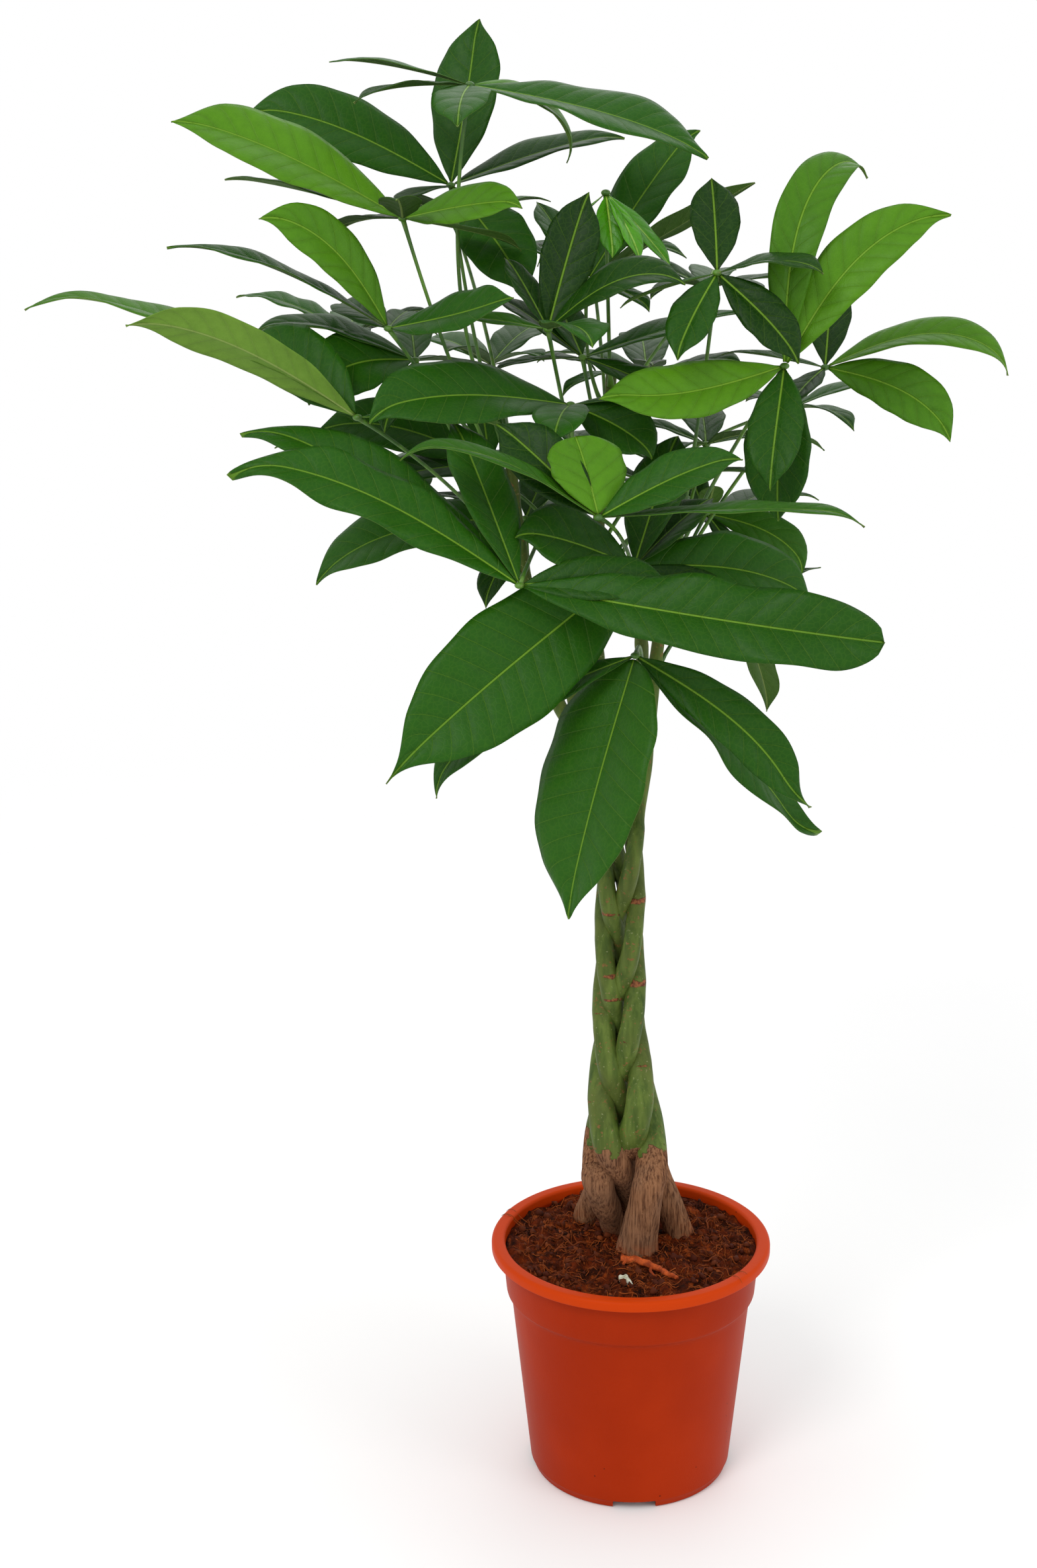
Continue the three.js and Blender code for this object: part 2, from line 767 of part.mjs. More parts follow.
// The direction at a bearing and a rise, both in degrees.
function heading(bearing, rise) {
  const level = Math.cos(rad(rise));
  return vec(level * Math.cos(rad(bearing)), level * Math.sin(rad(bearing)), Math.sin(rad(rise)));
}

// Half the width of a blade as a share of its greatest, at a share of its length.
function bladeBulge(share) {
  const widest = BLADE_WEDGE / (BLADE_WEDGE + BLADE_POINT);
  const outline = (at) => at ** BLADE_WEDGE * (1 - at) ** BLADE_POINT;
  return outline(share) / outline(widest);
}

// A leaflet's line, from the hub outwards, with its width and its upper side at each share of its length.
function leafletLine([bearing, rise, droop, length, roll, width = BLADE_ASPECT * length]) {
  return (share) => {
    const place = heading(bearing, rise).multiplyScalar(BLADE_START);
    const step = share / BLADE_SAMPLES;
    for (let i = 0; i < BLADE_SAMPLES; i += 1) {
      const middle = (i + 0.5) * step;
      const e = rise + droop * middle * middle;
      place.addScaledVector(heading(bearing, e), length * step);
    }
    const e = rise + droop * share * share;
    const tangent = heading(bearing, e);
    const level = heading(bearing, e + 90);
    const up = level.applyAxisAngle(tangent, rad(roll));
    const side = tangent.clone().cross(up);
    const half = Math.max((width / 2) * bladeBulge(share), BLADE_STALK_HALF_WIDTH);
    return { place, up, side, half };
  };
}

function leafletSolid(hub, leaflet) {
  const at = leafletLine(leaflet);
  const rings = BLADE_STATIONS.map((share) => {
    const { place, up, side, half } = at(share);
    const centre = hub.clone().add(place);
    const lift = half * Math.tan(rad(BLADE_FOLD));
    const left = centre.clone().addScaledVector(side, -half).addScaledVector(up, lift);
    const right = centre.clone().addScaledVector(side, half).addScaledVector(up, lift);
    const top = centre.clone().addScaledVector(up, BLADE_THICKNESS / 2);
    const bottom = centre.clone().addScaledVector(up, -BLADE_THICKNESS / 2);
    return [left, top, right, bottom];
  });
  const tip = hub.clone().add(at(1).place);
  const points = [...rings.flat(), tip];
  const faces = [];
  const n = 4;
  for (let k = 0; k < rings.length - 1; k += 1) {
    for (let i = 0; i < n; i += 1) {
      const j = (i + 1) % n;
      faces.push([k * n + i, k * n + j, k * n + n + j]);
      faces.push([k * n + i, k * n + n + j, k * n + n + i]);
    }
  }
  const last = (rings.length - 1) * n;
  for (let i = 0; i < n; i += 1) {
    faces.push([last + i, last + ((i + 1) % n), points.length - 1]);
  }
  faces.push([0, 3, 1]);
  faces.push([1, 3, 2]);
  return toSolid(closedMesh(points, faces));
}

// The point at a height on a stem's centre line.
function stemPointAt(index, z) {
  const curve = stemCurves[index];
  let low = 0;
  let high = 1;
  while (high - low > 1e-6) {
    const middle = (low + high) / 2;
    if (curve.getPointAt(middle).z < z) {
      low = middle;
    } else {
      high = middle;
    }
  }
  return curve.getPointAt(low);
}

// The stalk leaves the stem just clear of its bark, climbs, and bends over to the hub.
function petioleSolid(stem, node, target) {
  const root = stemPointAt(stem, node);
  const outward = target.clone().sub(root).setZ(0).normalize();
  const clear = stemRadius(stem, node) + PETIOLE_RADIUS + GAP;
  const start = root.clone().addScaledVector(outward, clear);
  const reach = start.distanceTo(target);
  const bend = start.clone().addScaledVector(outward, PETIOLE_OUT * reach);
  bend.z += PETIOLE_UP * reach;
  const curve = new THREE.QuadraticBezierCurve3(start, bend, target);
  const radiusAt = () => PETIOLE_RADIUS;
  return toSolid(loft(ringsAlong(curve, PETIOLE_STEPS, PETIOLE_SIDES, radiusAt)));
}

function leafSolid(leaf) {
  const hub = vec(...leaf.hub).add(vec(0, 0, crownLift));
  const knot = new THREE.IcosahedronGeometry(HUB_RADIUS, 0).translate(hub.x, hub.y, hub.z);
  const blades = leaf.leaflets.map((leaflet) => leafletSolid(hub, leaflet));
  const stalk = petioleSolid(leaf.stem, leaf.node + crownLift, hub);
  return join([toSolid(knot), stalk, ...blades]).translate(0, 0, plantLift);
}

function buildLeaves() {
  for (const leaf of LEAVES) {
    addPart(leaf.name, toGeometry(leafSolid(leaf)), 0x2c6414, 0.4);
  }
}

buildPot();
buildStems();
buildSoil();
buildSurfaceRoot();
buildChip();
buildLeaves();

export default group;
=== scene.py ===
"""A potted money tree: five plaited stems, palmate leaves, fibrous soil and a moulded nursery pot.

Sizes are in millimetres until a piece is finished, which scales it to metres.
"""
import random
from math import atan2, cos, degrees, exp, hypot, pi, sin, sqrt, tan
from math import radians as rad

import bmesh
import bpy
from mathutils import Matrix, Vector, noise


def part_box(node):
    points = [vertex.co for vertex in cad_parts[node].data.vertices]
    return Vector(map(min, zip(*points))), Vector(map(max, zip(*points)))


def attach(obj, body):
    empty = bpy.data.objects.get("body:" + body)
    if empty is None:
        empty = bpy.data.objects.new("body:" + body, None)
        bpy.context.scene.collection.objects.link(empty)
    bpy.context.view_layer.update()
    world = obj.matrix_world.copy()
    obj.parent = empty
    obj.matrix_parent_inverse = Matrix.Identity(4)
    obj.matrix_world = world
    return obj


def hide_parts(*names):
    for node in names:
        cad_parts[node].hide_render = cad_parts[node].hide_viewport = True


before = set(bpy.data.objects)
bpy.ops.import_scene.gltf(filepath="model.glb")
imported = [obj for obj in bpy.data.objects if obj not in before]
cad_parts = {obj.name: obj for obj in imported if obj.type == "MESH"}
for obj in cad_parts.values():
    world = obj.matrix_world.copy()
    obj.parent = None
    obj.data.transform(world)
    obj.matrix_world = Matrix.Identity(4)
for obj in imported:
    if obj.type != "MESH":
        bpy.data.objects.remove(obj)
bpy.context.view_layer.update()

MM = 0.001
pot_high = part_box("pot")[1]
soil_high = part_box("soil")[1]
POT_HEIGHT = pot_high.z / MM
RIM_RADIUS = pot_high.x / MM
SOIL_CROWN = soil_high.z / MM

# ---- the pot's own sizes ----

RIM_DEPTH = 8
RIM_FOOT = POT_HEIGHT - RIM_DEPTH
COLLAR_DEPTH = 40
COLLAR_FOOT = POT_HEIGHT - COLLAR_DEPTH
COLLAR_TOP_RADIUS = RIM_RADIUS - 8.5
COLLAR_FOOT_RADIUS = RIM_RADIUS - 11
COLLAR_STEP = 3.2
BASE_RADIUS = 0.71 * RIM_RADIUS
WALL = 1.8
FLOOR_RAISE = 4
FLOOR_THICKNESS = 2.2
FOOT_RING_WIDTH = 5
FOOT_ROUNDING = 2.4
NOTCHES = 4
NOTCH_WIDTH = 32
NOTCH_HEIGHT = 6.5
DRAINS = 6
DRAIN_RADIUS = 5
DRAIN_CIRCLE_RADIUS = 0.62 * BASE_RADIUS
SOIL_EDGE = POT_HEIGHT - 8
SOIL_CROWN_HEIGHT = SOIL_CROWN - SOIL_EDGE

# ---- the plait ----

PLAIT_PITCH = 310  # the height in which a stem goes once round the plait
PLAIT_TOP = 520
PLAIT_FOOT = 232
PLAIT_PHASE_HEIGHT = 402  # where the first stem is at the right of the plait
PLAIT_STEPS = 24
PLAIT_LOOSE = 350  # below this the plait gets wider and deeper
PLAIT_HALF_WIDTH = 11.9
PLAIT_WIDENING = 0.09
PLAIT_HALF_DEPTH = 12
PLAIT_DEEPENING = 0.06
PLAIT_OVERLAP = 4.5  # how far the stems that go down to the left pass in front of the others
TRUNK_LEAN = -9
STEM_RADIUS = 5.2
STEM_TIP_RADIUS = 3.4
STEM_THICKENING = 0.02
STEM_SIDES = 40
SHOOT_SCARS = 4  # scars made at random on each shoot
FLARE_TOP = 246  # below this a stem widens into its foot
BARK_LINE = 266  # about where the green bark turns grey
# how much fuller the bark is than the plain stem, from the height on its left
BARK_FULLNESS = [(0, 1.2), (190, 1.2), (215, 3.0), (245, 4.8), (270, 4.6), (300, 3.8), (350, 2.8),
                 (430, 1.5), (470, 1.0), (520, 0.7), (560, 0.5), (1000, 0.5)]

# name, foot, radius at the foot, and the shoot above the plait
STEMS = [
    ("stem_left_front", (-12, 15), 7,
     [(-25, -12, 562), (-43, -8, 608), (-45, -6, 679), (-38, -10, 776)]),
    ("stem_left_back", (-31, 40), 9.5,
     [(-36, 14, 571), (-54, 12, 600), (-74, 10, 676), (-88, 10, 796)]),
    ("stem_middle", (4, -15), 14.5,
     [(3, -18, 562), (5, -26, 617), (3, -40, 658), (-1, -55, 697)]),
    ("stem_right_front", (37, 14), 9.5,
     [(9, 2, 557), (14, 8, 609), (22, 15, 666), (33, 20, 721)]),
    ("stem_right_back", (5, 37), 7.5,
     [(-14, 20, 572), (-24, 28, 625), (-25, 40, 694), (-13, 60, 828)]),
]

# leaf scars on the plait: a point on the face of a stem, half height of the mark and its strength
SCARS = [
    ((5, -14, 456), 2.6, 0.9), ((-22, -14, 455), 1.0, 0.6), ((-16, -14, 446), 1.4, 0.6),
    ((-14, -14, 400), 2.6, 0.75), ((3, -14, 393), 2.6, 0.9), ((-20, -10, 425), 1.2, 0.6),
    ((-13, -12, 381), 1.8, 0.7), ((-19, -14, 368), 1.8, 0.75), ((-25, -8, 356), 1.5, 0.5),
    ((3, -14, 344), 1.0, 0.7), ((-4, -16, 351), 1.0, 0.5), ((11, -16, 305), 2.4, 0.5),
    ((6, -18, 330), 1.0, 0.6), ((12, -14, 296), 1.2, 0.7), ((-27, -6, 300), 1.4, 0.5),
    ((-4, 16, 420), 2.4, 0.8), ((-18, 20, 350), 2.2, 0.8), ((10, 18, 385), 2.4, 0.8),
    ((14, 14, 310), 1.8, 0.7), ((-20, 14, 400), 2.0, 0.7),
]

# ---- the leaves ----
# name: stem, height of the node on it, hub, and leaflets as (bearing, rise, droop, length, roll, width),
# with no roll, or no roll and width, where they are the usual

LEAVES = {
    "leaf_top_left": (1, 786, (-110, 10, 1020), [
        (170, 15, -15, 95), (215, 0, -20, 90), (265, -10, -25, 85, 0, 38), (25, -5, -95, 100, 25),
        (350, -10, -20, 165, 20),
    ]),
    "leaf_top_behind": (1, 768, (-125, 60, 955), [
        (65, 65, 10, 120, 0, 50), (180, 30, -30, 150, -50), (10, 20, -15, 125, 15),
        (310, -35, -20, 105, 30, 48), (240, -5, -10, 70),
    ]),
    "leaf_upper_left": (1, 750, (-155, -20, 935), [
        (190, 30, -20, 160, -40), (160, 15, -10, 130), (130, 0, -20, 80), (325, 10, -10, 95, 45),
        (20, -10, -10, 85), (270, 15, -10, 70, 0, 28),
    ]),
    "leaf_left_curled": (1, 730, (-165, -40, 865), [
        (200, 60, -60, 115, -65, 36), (175, 30, -30, 155, 0, 40), (120, 15, -20, 80, -20),
        (322, 10, 10, 105, 40), (80, 10, -10, 60),
    ]),
    "leaf_left_long": (1, 690, (-185, -70, 810), [
        (190, 35, -35, 160, 50, 48), (170, 30, -35, 240, 0, 44), (140, 35, -20, 105, -45, 45),
        (20, 0, -20, 105),
    ]),
    "leaf_left_inner": (1, 710, (-150, 10, 840), [
        (180, 25, -45, 115, -10), (212, 5, -70, 90, -45, 50), (250, -30, -20, 70, 10),
        (95, 20, -10, 80),
    ]),
    "leaf_left_shaded": (1, 718, (-100, 40, 765), [
        (175, 25, -45, 125, -40, 48), (205, 0, -20, 90, -20, 40), (20, 35, -20, 60), (100, 50, -10, 85),
    ]),
    "leaf_middle_front": (0, 766, (-60, -60, 865), [
        (45, 68, -6, 92, 50, 36), (345, 40, -70, 100, 30, 40), (165, 10, -20, 80, -10),
        (290, 10, -40, 80, 0, 40), (130, 50, -10, 60),
    ]),
    "leaf_glossy": (0, 748, (-45, -50, 815), [
        (205, 10, -30, 145, -35, 60), (260, 0, -40, 75, 0, 36), (340, -20, -30, 65, 40, 42),
        (10, 5, -20, 90), (70, -16, -20, 60),
    ]),
    "leaf_middle_inner": (4, 770, (-35, 20, 840), [
        (2, 18, -10, 115, 10), (198, 0, -20, 66), (330, -15, -20, 75, 20), (140, 30, -10, 85),
        (108, 35, -10, 75),
    ]),
    "leaf_middle_high": (4, 800, (-30, 60, 890), [
        (20, 55, -10, 130, 30, 48), (350, 30, 0, 130, -15, 40), (170, 30, -10, 65, 0, 30),
        (120, 40, -10, 85), (315, -10, -20, 60),
    ]),
    "leaf_young": (4, 818, (-20, 0, 950), [
        (195, -40, -10, 65, 0, 16), (280, -55, -20, 45, 0, 20), (320, -50, -20, 50, 0, 20),
        (0, -45, -10, 65, 30, 20),
    ]),
    "leaf_low_left": (1, 664, (-75, 45, 725), [
        (185, 0, -50, 160, -30, 56), (140, 10, -15, 100), (235, -40, -20, 75), (75, 25, -10, 85),
        (345, -30, -50, 60, 0, 24),
    ]),
    "leaf_right_middle": (3, 714, (50, -60, 900), [
        (90, 50, 0, 75, 0, 33), (235, -40, -15, 70, -20, 30), (340, 15, -45, 70, 10, 34),
        (335, -38, -20, 78, 58, 30), (55, -20, -20, 85), (170, -15, -10, 65),
    ]),
    "leaf_right_front": (3, 700, (95, -60, 840), [
        (50, 90, -120, 185, 35, 34), (10, 60, -60, 150, 60, 40), (200, -14, 30, 130, -50, 42),
        (255, -45, -30, 90, 0, 36), (245, -80, -20, 100, 0, 46),
    ]),
    "leaf_right_far": (3, 684, (135, 40, 830), [
        (355, 25, -85, 140, 25, 36), (335, -10, -55, 105, 50, 40), (80, 45, -10, 85, 0, 32),
        (155, 10, -10, 75), (240, -15, -10, 60),
    ]),
    "leaf_right_low": (3, 666, (55, 60, 725), [
        (280, 50, -10, 30, 0, 18), (345, -10, -60, 85, 40, 32), (300, -30, -30, 45), (105, 35, -10, 60),
        (50, 0, -10, 70),
    ]),
    "leaf_right_under": (3, 620, (75, 70, 660), [
        (35, -60, -20, 95, 0, 34), (15, 20, -10, 70), (200, -20, -10, 60), (70, 35, -10, 75),
    ]),
    "leaf_front_light": (2, 695, (-30, -150, 755), [
        (115, 60, -15, 55, 0, 52), (355, 30, -20, 95, 40, 38), (150, 40, -10, 90, -45, 40),
        (185, 35, -50, 135, -10, 30), (350, 5, -10, 165, 5, 28),
    ]),
    "leaf_front_great": (0, 720, (-80, -142, 711), [
        (160, 35, -25, 215, -35, 44), (180, 35, -35, 200, -45, 44), (348, -8, 2, 230, 55, 52),
        (358, 6, -20, 96, 50, 34), (130, 60, -10, 120, 0, 42),
    ]),
    "leaf_front_middle": (2, 676, (-5, -100, 715), [
        (200, 25, -20, 85, -50, 50), (8, 0, -40, 125, 45, 54), (60, 55, -10, 100, 0, 40),
        (35, 35, -10, 75, 0, 44), (205, -32, -8, 215, -65, 77), (345, -22, -20, 88, 60, 36),
    ]),
    "leaf_front_hanging": (2, 630, (-5, -120, 660), [
        (185, -20, -40, 165, -25, 40), (225, -65, -10, 175, 0, 90), (345, -28, -45, 150, 65, 34),
        (20, -42, -20, 195, 60, 34),
    ]),
}
# the same, and then how far the fan is turned, its number of leaflets and their length
BACK_LEAVES = [
    (1, 778, (-125, 165, 925), 20, 5, 100), (4, 790, (-25, 175, 905), 50, 6, 95),
    (4, 780, (60, 130, 880), 10, 5, 100), (1, 740, (-200, 120, 850), 35, 6, 100),
    (1, 735, (-100, 200, 820), 5, 6, 110), (4, 750, (20, 205, 810), 30, 6, 110),
    (4, 702, (125, 150, 790), 15, 5, 95), (0, 700, (-165, 150, 745), 40, 6, 110),
    (4, 720, (-40, 175, 720), 10, 6, 110), (4, 676, (70, 160, 705), 50, 5, 100),
    (3, 695, (54, 58, 775), 17, 5, 95), (0, 701, (-24, 95, 761), 29, 5, 94),
    (4, 668, (13, 7, 753), 67, 5, 81),
]

# how light a leaflet's green is, from 0 to 1, where it isn't the usual: partly the leaflet's own tone
# and partly painted light, lighter where a leaflet is backlit or glossy
LEAFLET_TONES_AND_PAINTED_LIGHT = {
    "leaf_top_left": {3: 0.75, 4: 0.45},
    "leaf_top_behind": {0: 0.3, 1: 0.4, 2: 0.2},
    "leaf_upper_left": {0: 0.85, 1: 0.45, 3: 0.8},
    "leaf_left_curled": {0: 0.8, 1: 0.35, 3: 0.4},
    "leaf_left_long": {0: 0.85, 1: 0.72, 2: 0.5},
    "leaf_glossy": {0: 0.35},
    "leaf_middle_front": {0: 0.05, 1: 0.15, 2: 0.6},
    "leaf_middle_high": {0: 0.45},
    "leaf_right_front": {0: 0.75, 1: 0.85, 2: 0.85, 3: 0.3},
    "leaf_right_far": {0: 0.8, 1: 0.75},
    "leaf_right_low": {1: 0.6},
    "leaf_right_middle": {0: 0.05, 1: 0.3, 2: 0.2, 3: 0.1},
    "leaf_right_under": {0: 0.5},
    "leaf_front_light": {0: 0.85, 1: 0.4, 3: 0.6, 4: 0.6},
    "leaf_front_great": {0: 0.45, 1: 0.5, 2: 0.35},
    "leaf_front_middle": {0: 0.3, 1: 0.45, 4: 0.5},
    "leaf_front_hanging": {0: 0.35, 1: 0.55, 2: 0.35, 3: 0.45},
}
# leaflets whose curl at the tip, wave at the margin, bend sideways or outline isn't the usual
WAVY_LEAFLETS = {
    "leaf_left_long": {0: {"curl": 12, "wave": 1.2, "slim": 0.82},
                       1: {"curl": 25, "wave": 1.5, "bend": 0}},
    "leaf_glossy": {1: {"curl": 0, "wave": 0.5, "bend": 0}},
    "leaf_right_far": {0: {"curl": 20, "wave": 1.0, "bend": 0}},
    "leaf_front_light": {0: {"curl": 0, "wave": 0.8, "bend": 0, "quilt": 0.1, "blunt": 0.7}},
    "leaf_front_great": {0: {"curl": 30, "wave": 3.0, "bend": 0},
                         1: {"curl": 40, "wave": 3.6, "bend": 0},
                         2: {"curl": 0, "wave": 3.6, "bend": 4, "blunt": 1.0, "quilt": 0.8}},
    "leaf_front_middle": {4: {"curl": 8, "wave": 1.4, "bend": 0, "blunt": -0.8, "wedge": 0.75}},
    "leaf_front_hanging": {1: {"curl": 10, "wave": 1.6, "bend": 0, "wedge": 0.58},
                           2: {"curl": -40, "wave": 3.0, "bend": 4},
                           3: {"curl": -55, "wave": 5.0, "bend": 6}},
}

BLADE_START = 2.6  # from the middle of the hub
BLADE_STEPS = 60
BLADE_ASPECT = 0.36  # the width of a blade whose width isn't given, as a share of its length
BLADE_FOLD = 14  # how far each half of a blade is folded up, in degrees
BLADE_THICKNESS = 0.5
STALK_HALF_WIDTH = 1.2
BLADE_WEDGE = 0.9  # the greater this is, the longer a blade's narrow base
BLADE_POINT = 0.75  # and the same for its tip
BLUNT_POINT = 0.45  # of a leaflet with a rounded tip
VEIN_SPACING = 14  # between the side veins of a leaflet
VEIN_SWEEP = 1.3  # how far a side vein runs forward by the margin, in vein spacings
HUB_RADIUS = 3.2
PETIOLE_RADIUS = 1.45
PETIOLE_TAPER = 0.25
PETIOLE_FOOT_SWELL = 1.5
PETIOLE_HEAD_SWELL = 0.7
PETIOLE_OUT = 0.2  # how far out and up a stalk arches, as shares of its reach
PETIOLE_UP = 0.35

# the leaflets of a regular fan
FAN_RISE, FAN_RISE_CHANGE = 16, 8
FAN_DROOP, FAN_DROOP_CHANGE = -38, 12
FAN_ROLL = 10
FAN_SHORTENING = 0.18  # of the leaflets that point back to the trunk

# dark, middle and light green, colour of the rib, roughness, gloss and how far the rib stands out
LEAF_FACES = {
    "leaf_upper": ((14, 44, 3), (32, 80, 6), (84, 136, 18), (112, 152, 42), 0.38, 0.14, -1.0),
    "leaf_under": ((42, 70, 22), (66, 98, 36), (106, 142, 50), (136, 156, 84), 0.58, 0.1, 1.0),
    "young_leaf_upper": ((56, 124, 8), (78, 150, 14), (124, 184, 36), (160, 200, 76),
                         0.26, 0.3, -1.0),
}


def clamp(value, low=0.0, high=1.0):
    return min(max(value, low), high)


def smooth(low, high, value):
    """0 at low and 1 at high, which may be the lower number, with a smooth change between."""
    t = clamp((value - low) / (high - low))
    return t * t * (3 - 2 * t)


def blend(a, b, share):
    return a + (b - a) * share


# ---- painting: shader maths as expressions ----

FLOOR_FADE_START = 0.7  # in metres
FLOOR_FADE_END = 2.4


class Wire:
    """A socket of a material whose arithmetic adds nodes."""

    def __init__(self, tree, socket):
        self.tree = tree
        self.socket = socket

    def math(self, operation, *others):
        sockets = dict(enumerate((self, *others)))
        return add(self.tree, "Math", {"operation": operation}, sockets)

    def __add__(self, other):
        return self.math("ADD", other)

    def __sub__(self, other):
        return self.math("SUBTRACT", other)

    def __mul__(self, other):
        return self.math("MULTIPLY", other)

    def __rsub__(self, other):
        return add(self.tree, "Math", {"operation": "SUBTRACT"}, {0: other, 1: self})

    __radd__ = __add__

    def steps(self, low, high):
        """0 below low and 1 above high, with a smooth rise between them."""
        settings = {"interpolation_type": "SMOOTHSTEP"}
        sockets = {0: self, 1: low, 2: high, 3: 0.0, 4: 1.0}
        return add(self.tree, "MapRange", settings, sockets)


def add(tree, kind, settings, sockets, output=0):
    """A shader node with its settings and then the values or wires of its sockets."""
    node = tree.nodes.new("ShaderNode" + kind)
    for name, value in settings.items():
        setattr(node, name, value)
    for key, value in sockets.items():
        if isinstance(value, Wire):
            tree.links.new(value.socket, node.inputs[key])
        else:
            node.inputs[key].default_value = value
    return Wire(tree, node.outputs[output])


class Paint:
    """One material, from its coordinates to its surface."""

    def __init__(self, name):
        self.material = bpy.data.materials.new(name)
        self.material.use_nodes = True
        self.tree = self.material.node_tree
        self.tree.nodes.clear()
        self.place = self.add("TexCoord", {}, {}, "Object")
        self.color = None

    def add(self, kind, settings, sockets, output=0):
        return add(self.tree, kind, settings, sockets, output)

    def reads(self, name):
        return self.add("Attribute", {"attribute_name": name}, {}, "Fac")

    def parts(self, wire):
        xyz = self.add("SeparateXYZ", {}, {0: wire})
        node = xyz.socket.node
        return [Wire(self.tree, node.outputs[i]) for i in range(3)]

    def stretched(self, x, y, z):
        settings = {"operation": "MULTIPLY"}
        return self.add("VectorMath", settings, {0: self.place, 1: (x, y, z)})

    def grain(self, scale, detail=3.0, roughness=0.55, place=None):
        sockets = {"Vector": place or self.place, "Scale": scale, "Detail": detail,
                   "Roughness": roughness}
        return self.add("TexNoise", {}, sockets)

    def cells(self, scale, feature="DISTANCE_TO_EDGE", place=None):
        sockets = {"Vector": place or self.place, "Scale": scale}
        return self.add("TexVoronoi", {"feature": feature}, sockets)

    def mix(self, share, first, second):
        """From the first colour to the second. Each is a wire or (red, green, blue)."""
        first, second = [shade(*c) if isinstance(c, tuple) else c for c in (first, second)]
        sockets = {0: share, 6: first, 7: second}
        return self.add("Mix", {"data_type": "RGBA"}, sockets, 2)

    def coat(self, share, color):
        """Lays a share of another colour over the colour so far."""
        self.color = self.mix(share, self.color, color)

    def finish(self, roughness, height=None, depth=0.001, gloss=0.5, alpha=1.0):
        sockets = {"Base Color": self.color, "Roughness": roughness,
                   "Specular IOR Level": gloss, "Alpha": alpha}
        if height is not None:
            bump = {"Height": height, "Distance": depth, "Strength": 1.0}
            sockets["Normal"] = self.add("Bump", {}, bump)
        shader = self.add("BsdfPrincipled", {}, sockets)
        output = self.tree.nodes.new("ShaderNodeOutputMaterial")
        self.tree.links.new(shader.socket, output.inputs["Surface"])
        return self.material


def shade(red, green, blue):
    """A colour from the usual 0 to 255 numbers, made linear."""
    def linear(c):
        c = c / 255
        return c / 12.92 if c <= 0.04045 else ((c + 0.055) / 1.055) ** 2.4
    return (linear(red), linear(green), linear(blue), 1.0)


def blade_face(name, dark, middle, light, rib_color, roughness, gloss, rib_rise):
    """A face of a leaflet with its midrib, side veins and a fine net of veins between them."""
    paint = Paint(name)
    blade = paint.add("Attribute", {"attribute_name": "blade"}, {}, "Vector")
    across, along, phase = paint.parts(blade)
    tone = paint.reads("tone")
    off_rib = across.math("ABSOLUTE")
    rib = off_rib.steps(1.0, 0.4)
    wide_rib = off_rib.steps(3.4, 0.6)
    to_vein = (phase.math("FRACT") - 0.5).math("ABSOLUTE")
    vein = to_vein.steps(0.465, 0.498)
    valley = to_vein.steps(0.2, 0.5)
    net = paint.cells(280)
    net_line = net.steps(0.14, 0.0)
    blotch = paint.grain(20, 3)
    fine = paint.grain(150, 4)
    # the tone is each leaflet's own green, and for listed leaflets also painted light
    paint.color = paint.mix(tone.steps(0.0, 0.5), dark, middle)
    paint.coat(tone.steps(0.5, 1.0), light)
    paint.coat((blotch - 0.4) * 0.6, middle)
    paint.coat((fine - 0.4) * 0.4, dark)
    # painted shade: the bands along the side veins, sunken on the upper face, are darkened a little
    # towards the dark green
    paint.coat(valley * 0.1, dark)
    paint.coat(vein * 0.16 + net_line * 0.04, rib_color)
    paint.coat(rib * 0.8 * (1.0 - along * 0.4), rib_color)
    height = rib * rib_rise + wide_rib * (0.6 * rib_rise) + vein * (0.3 * rib_rise)
    height = height + valley * (0.35 * rib_rise) + net_line * (0.08 * rib_rise)
    height = height + fine * 0.1
    rough = roughness + fine * 0.14 + vein * 0.06
    return paint.finish(rough, height, 0.0006, gloss)


def stalk_green():
    paint = Paint("stalk_green")
    streak = paint.grain(90, 4, 0.6, paint.stretched(1, 1, 0.2))
    spot = paint.grain(420, 2)
    paint.color = paint.mix(streak.steps(0.35, 0.7), (44, 86, 14), (84, 128, 28))
    paint.coat(spot.steps(0.6, 0.75) * 0.4, (120, 92, 52))
    return paint.finish(0.4 + spot * 0.15, streak * 0.6 + spot * 0.4, 0.0003)


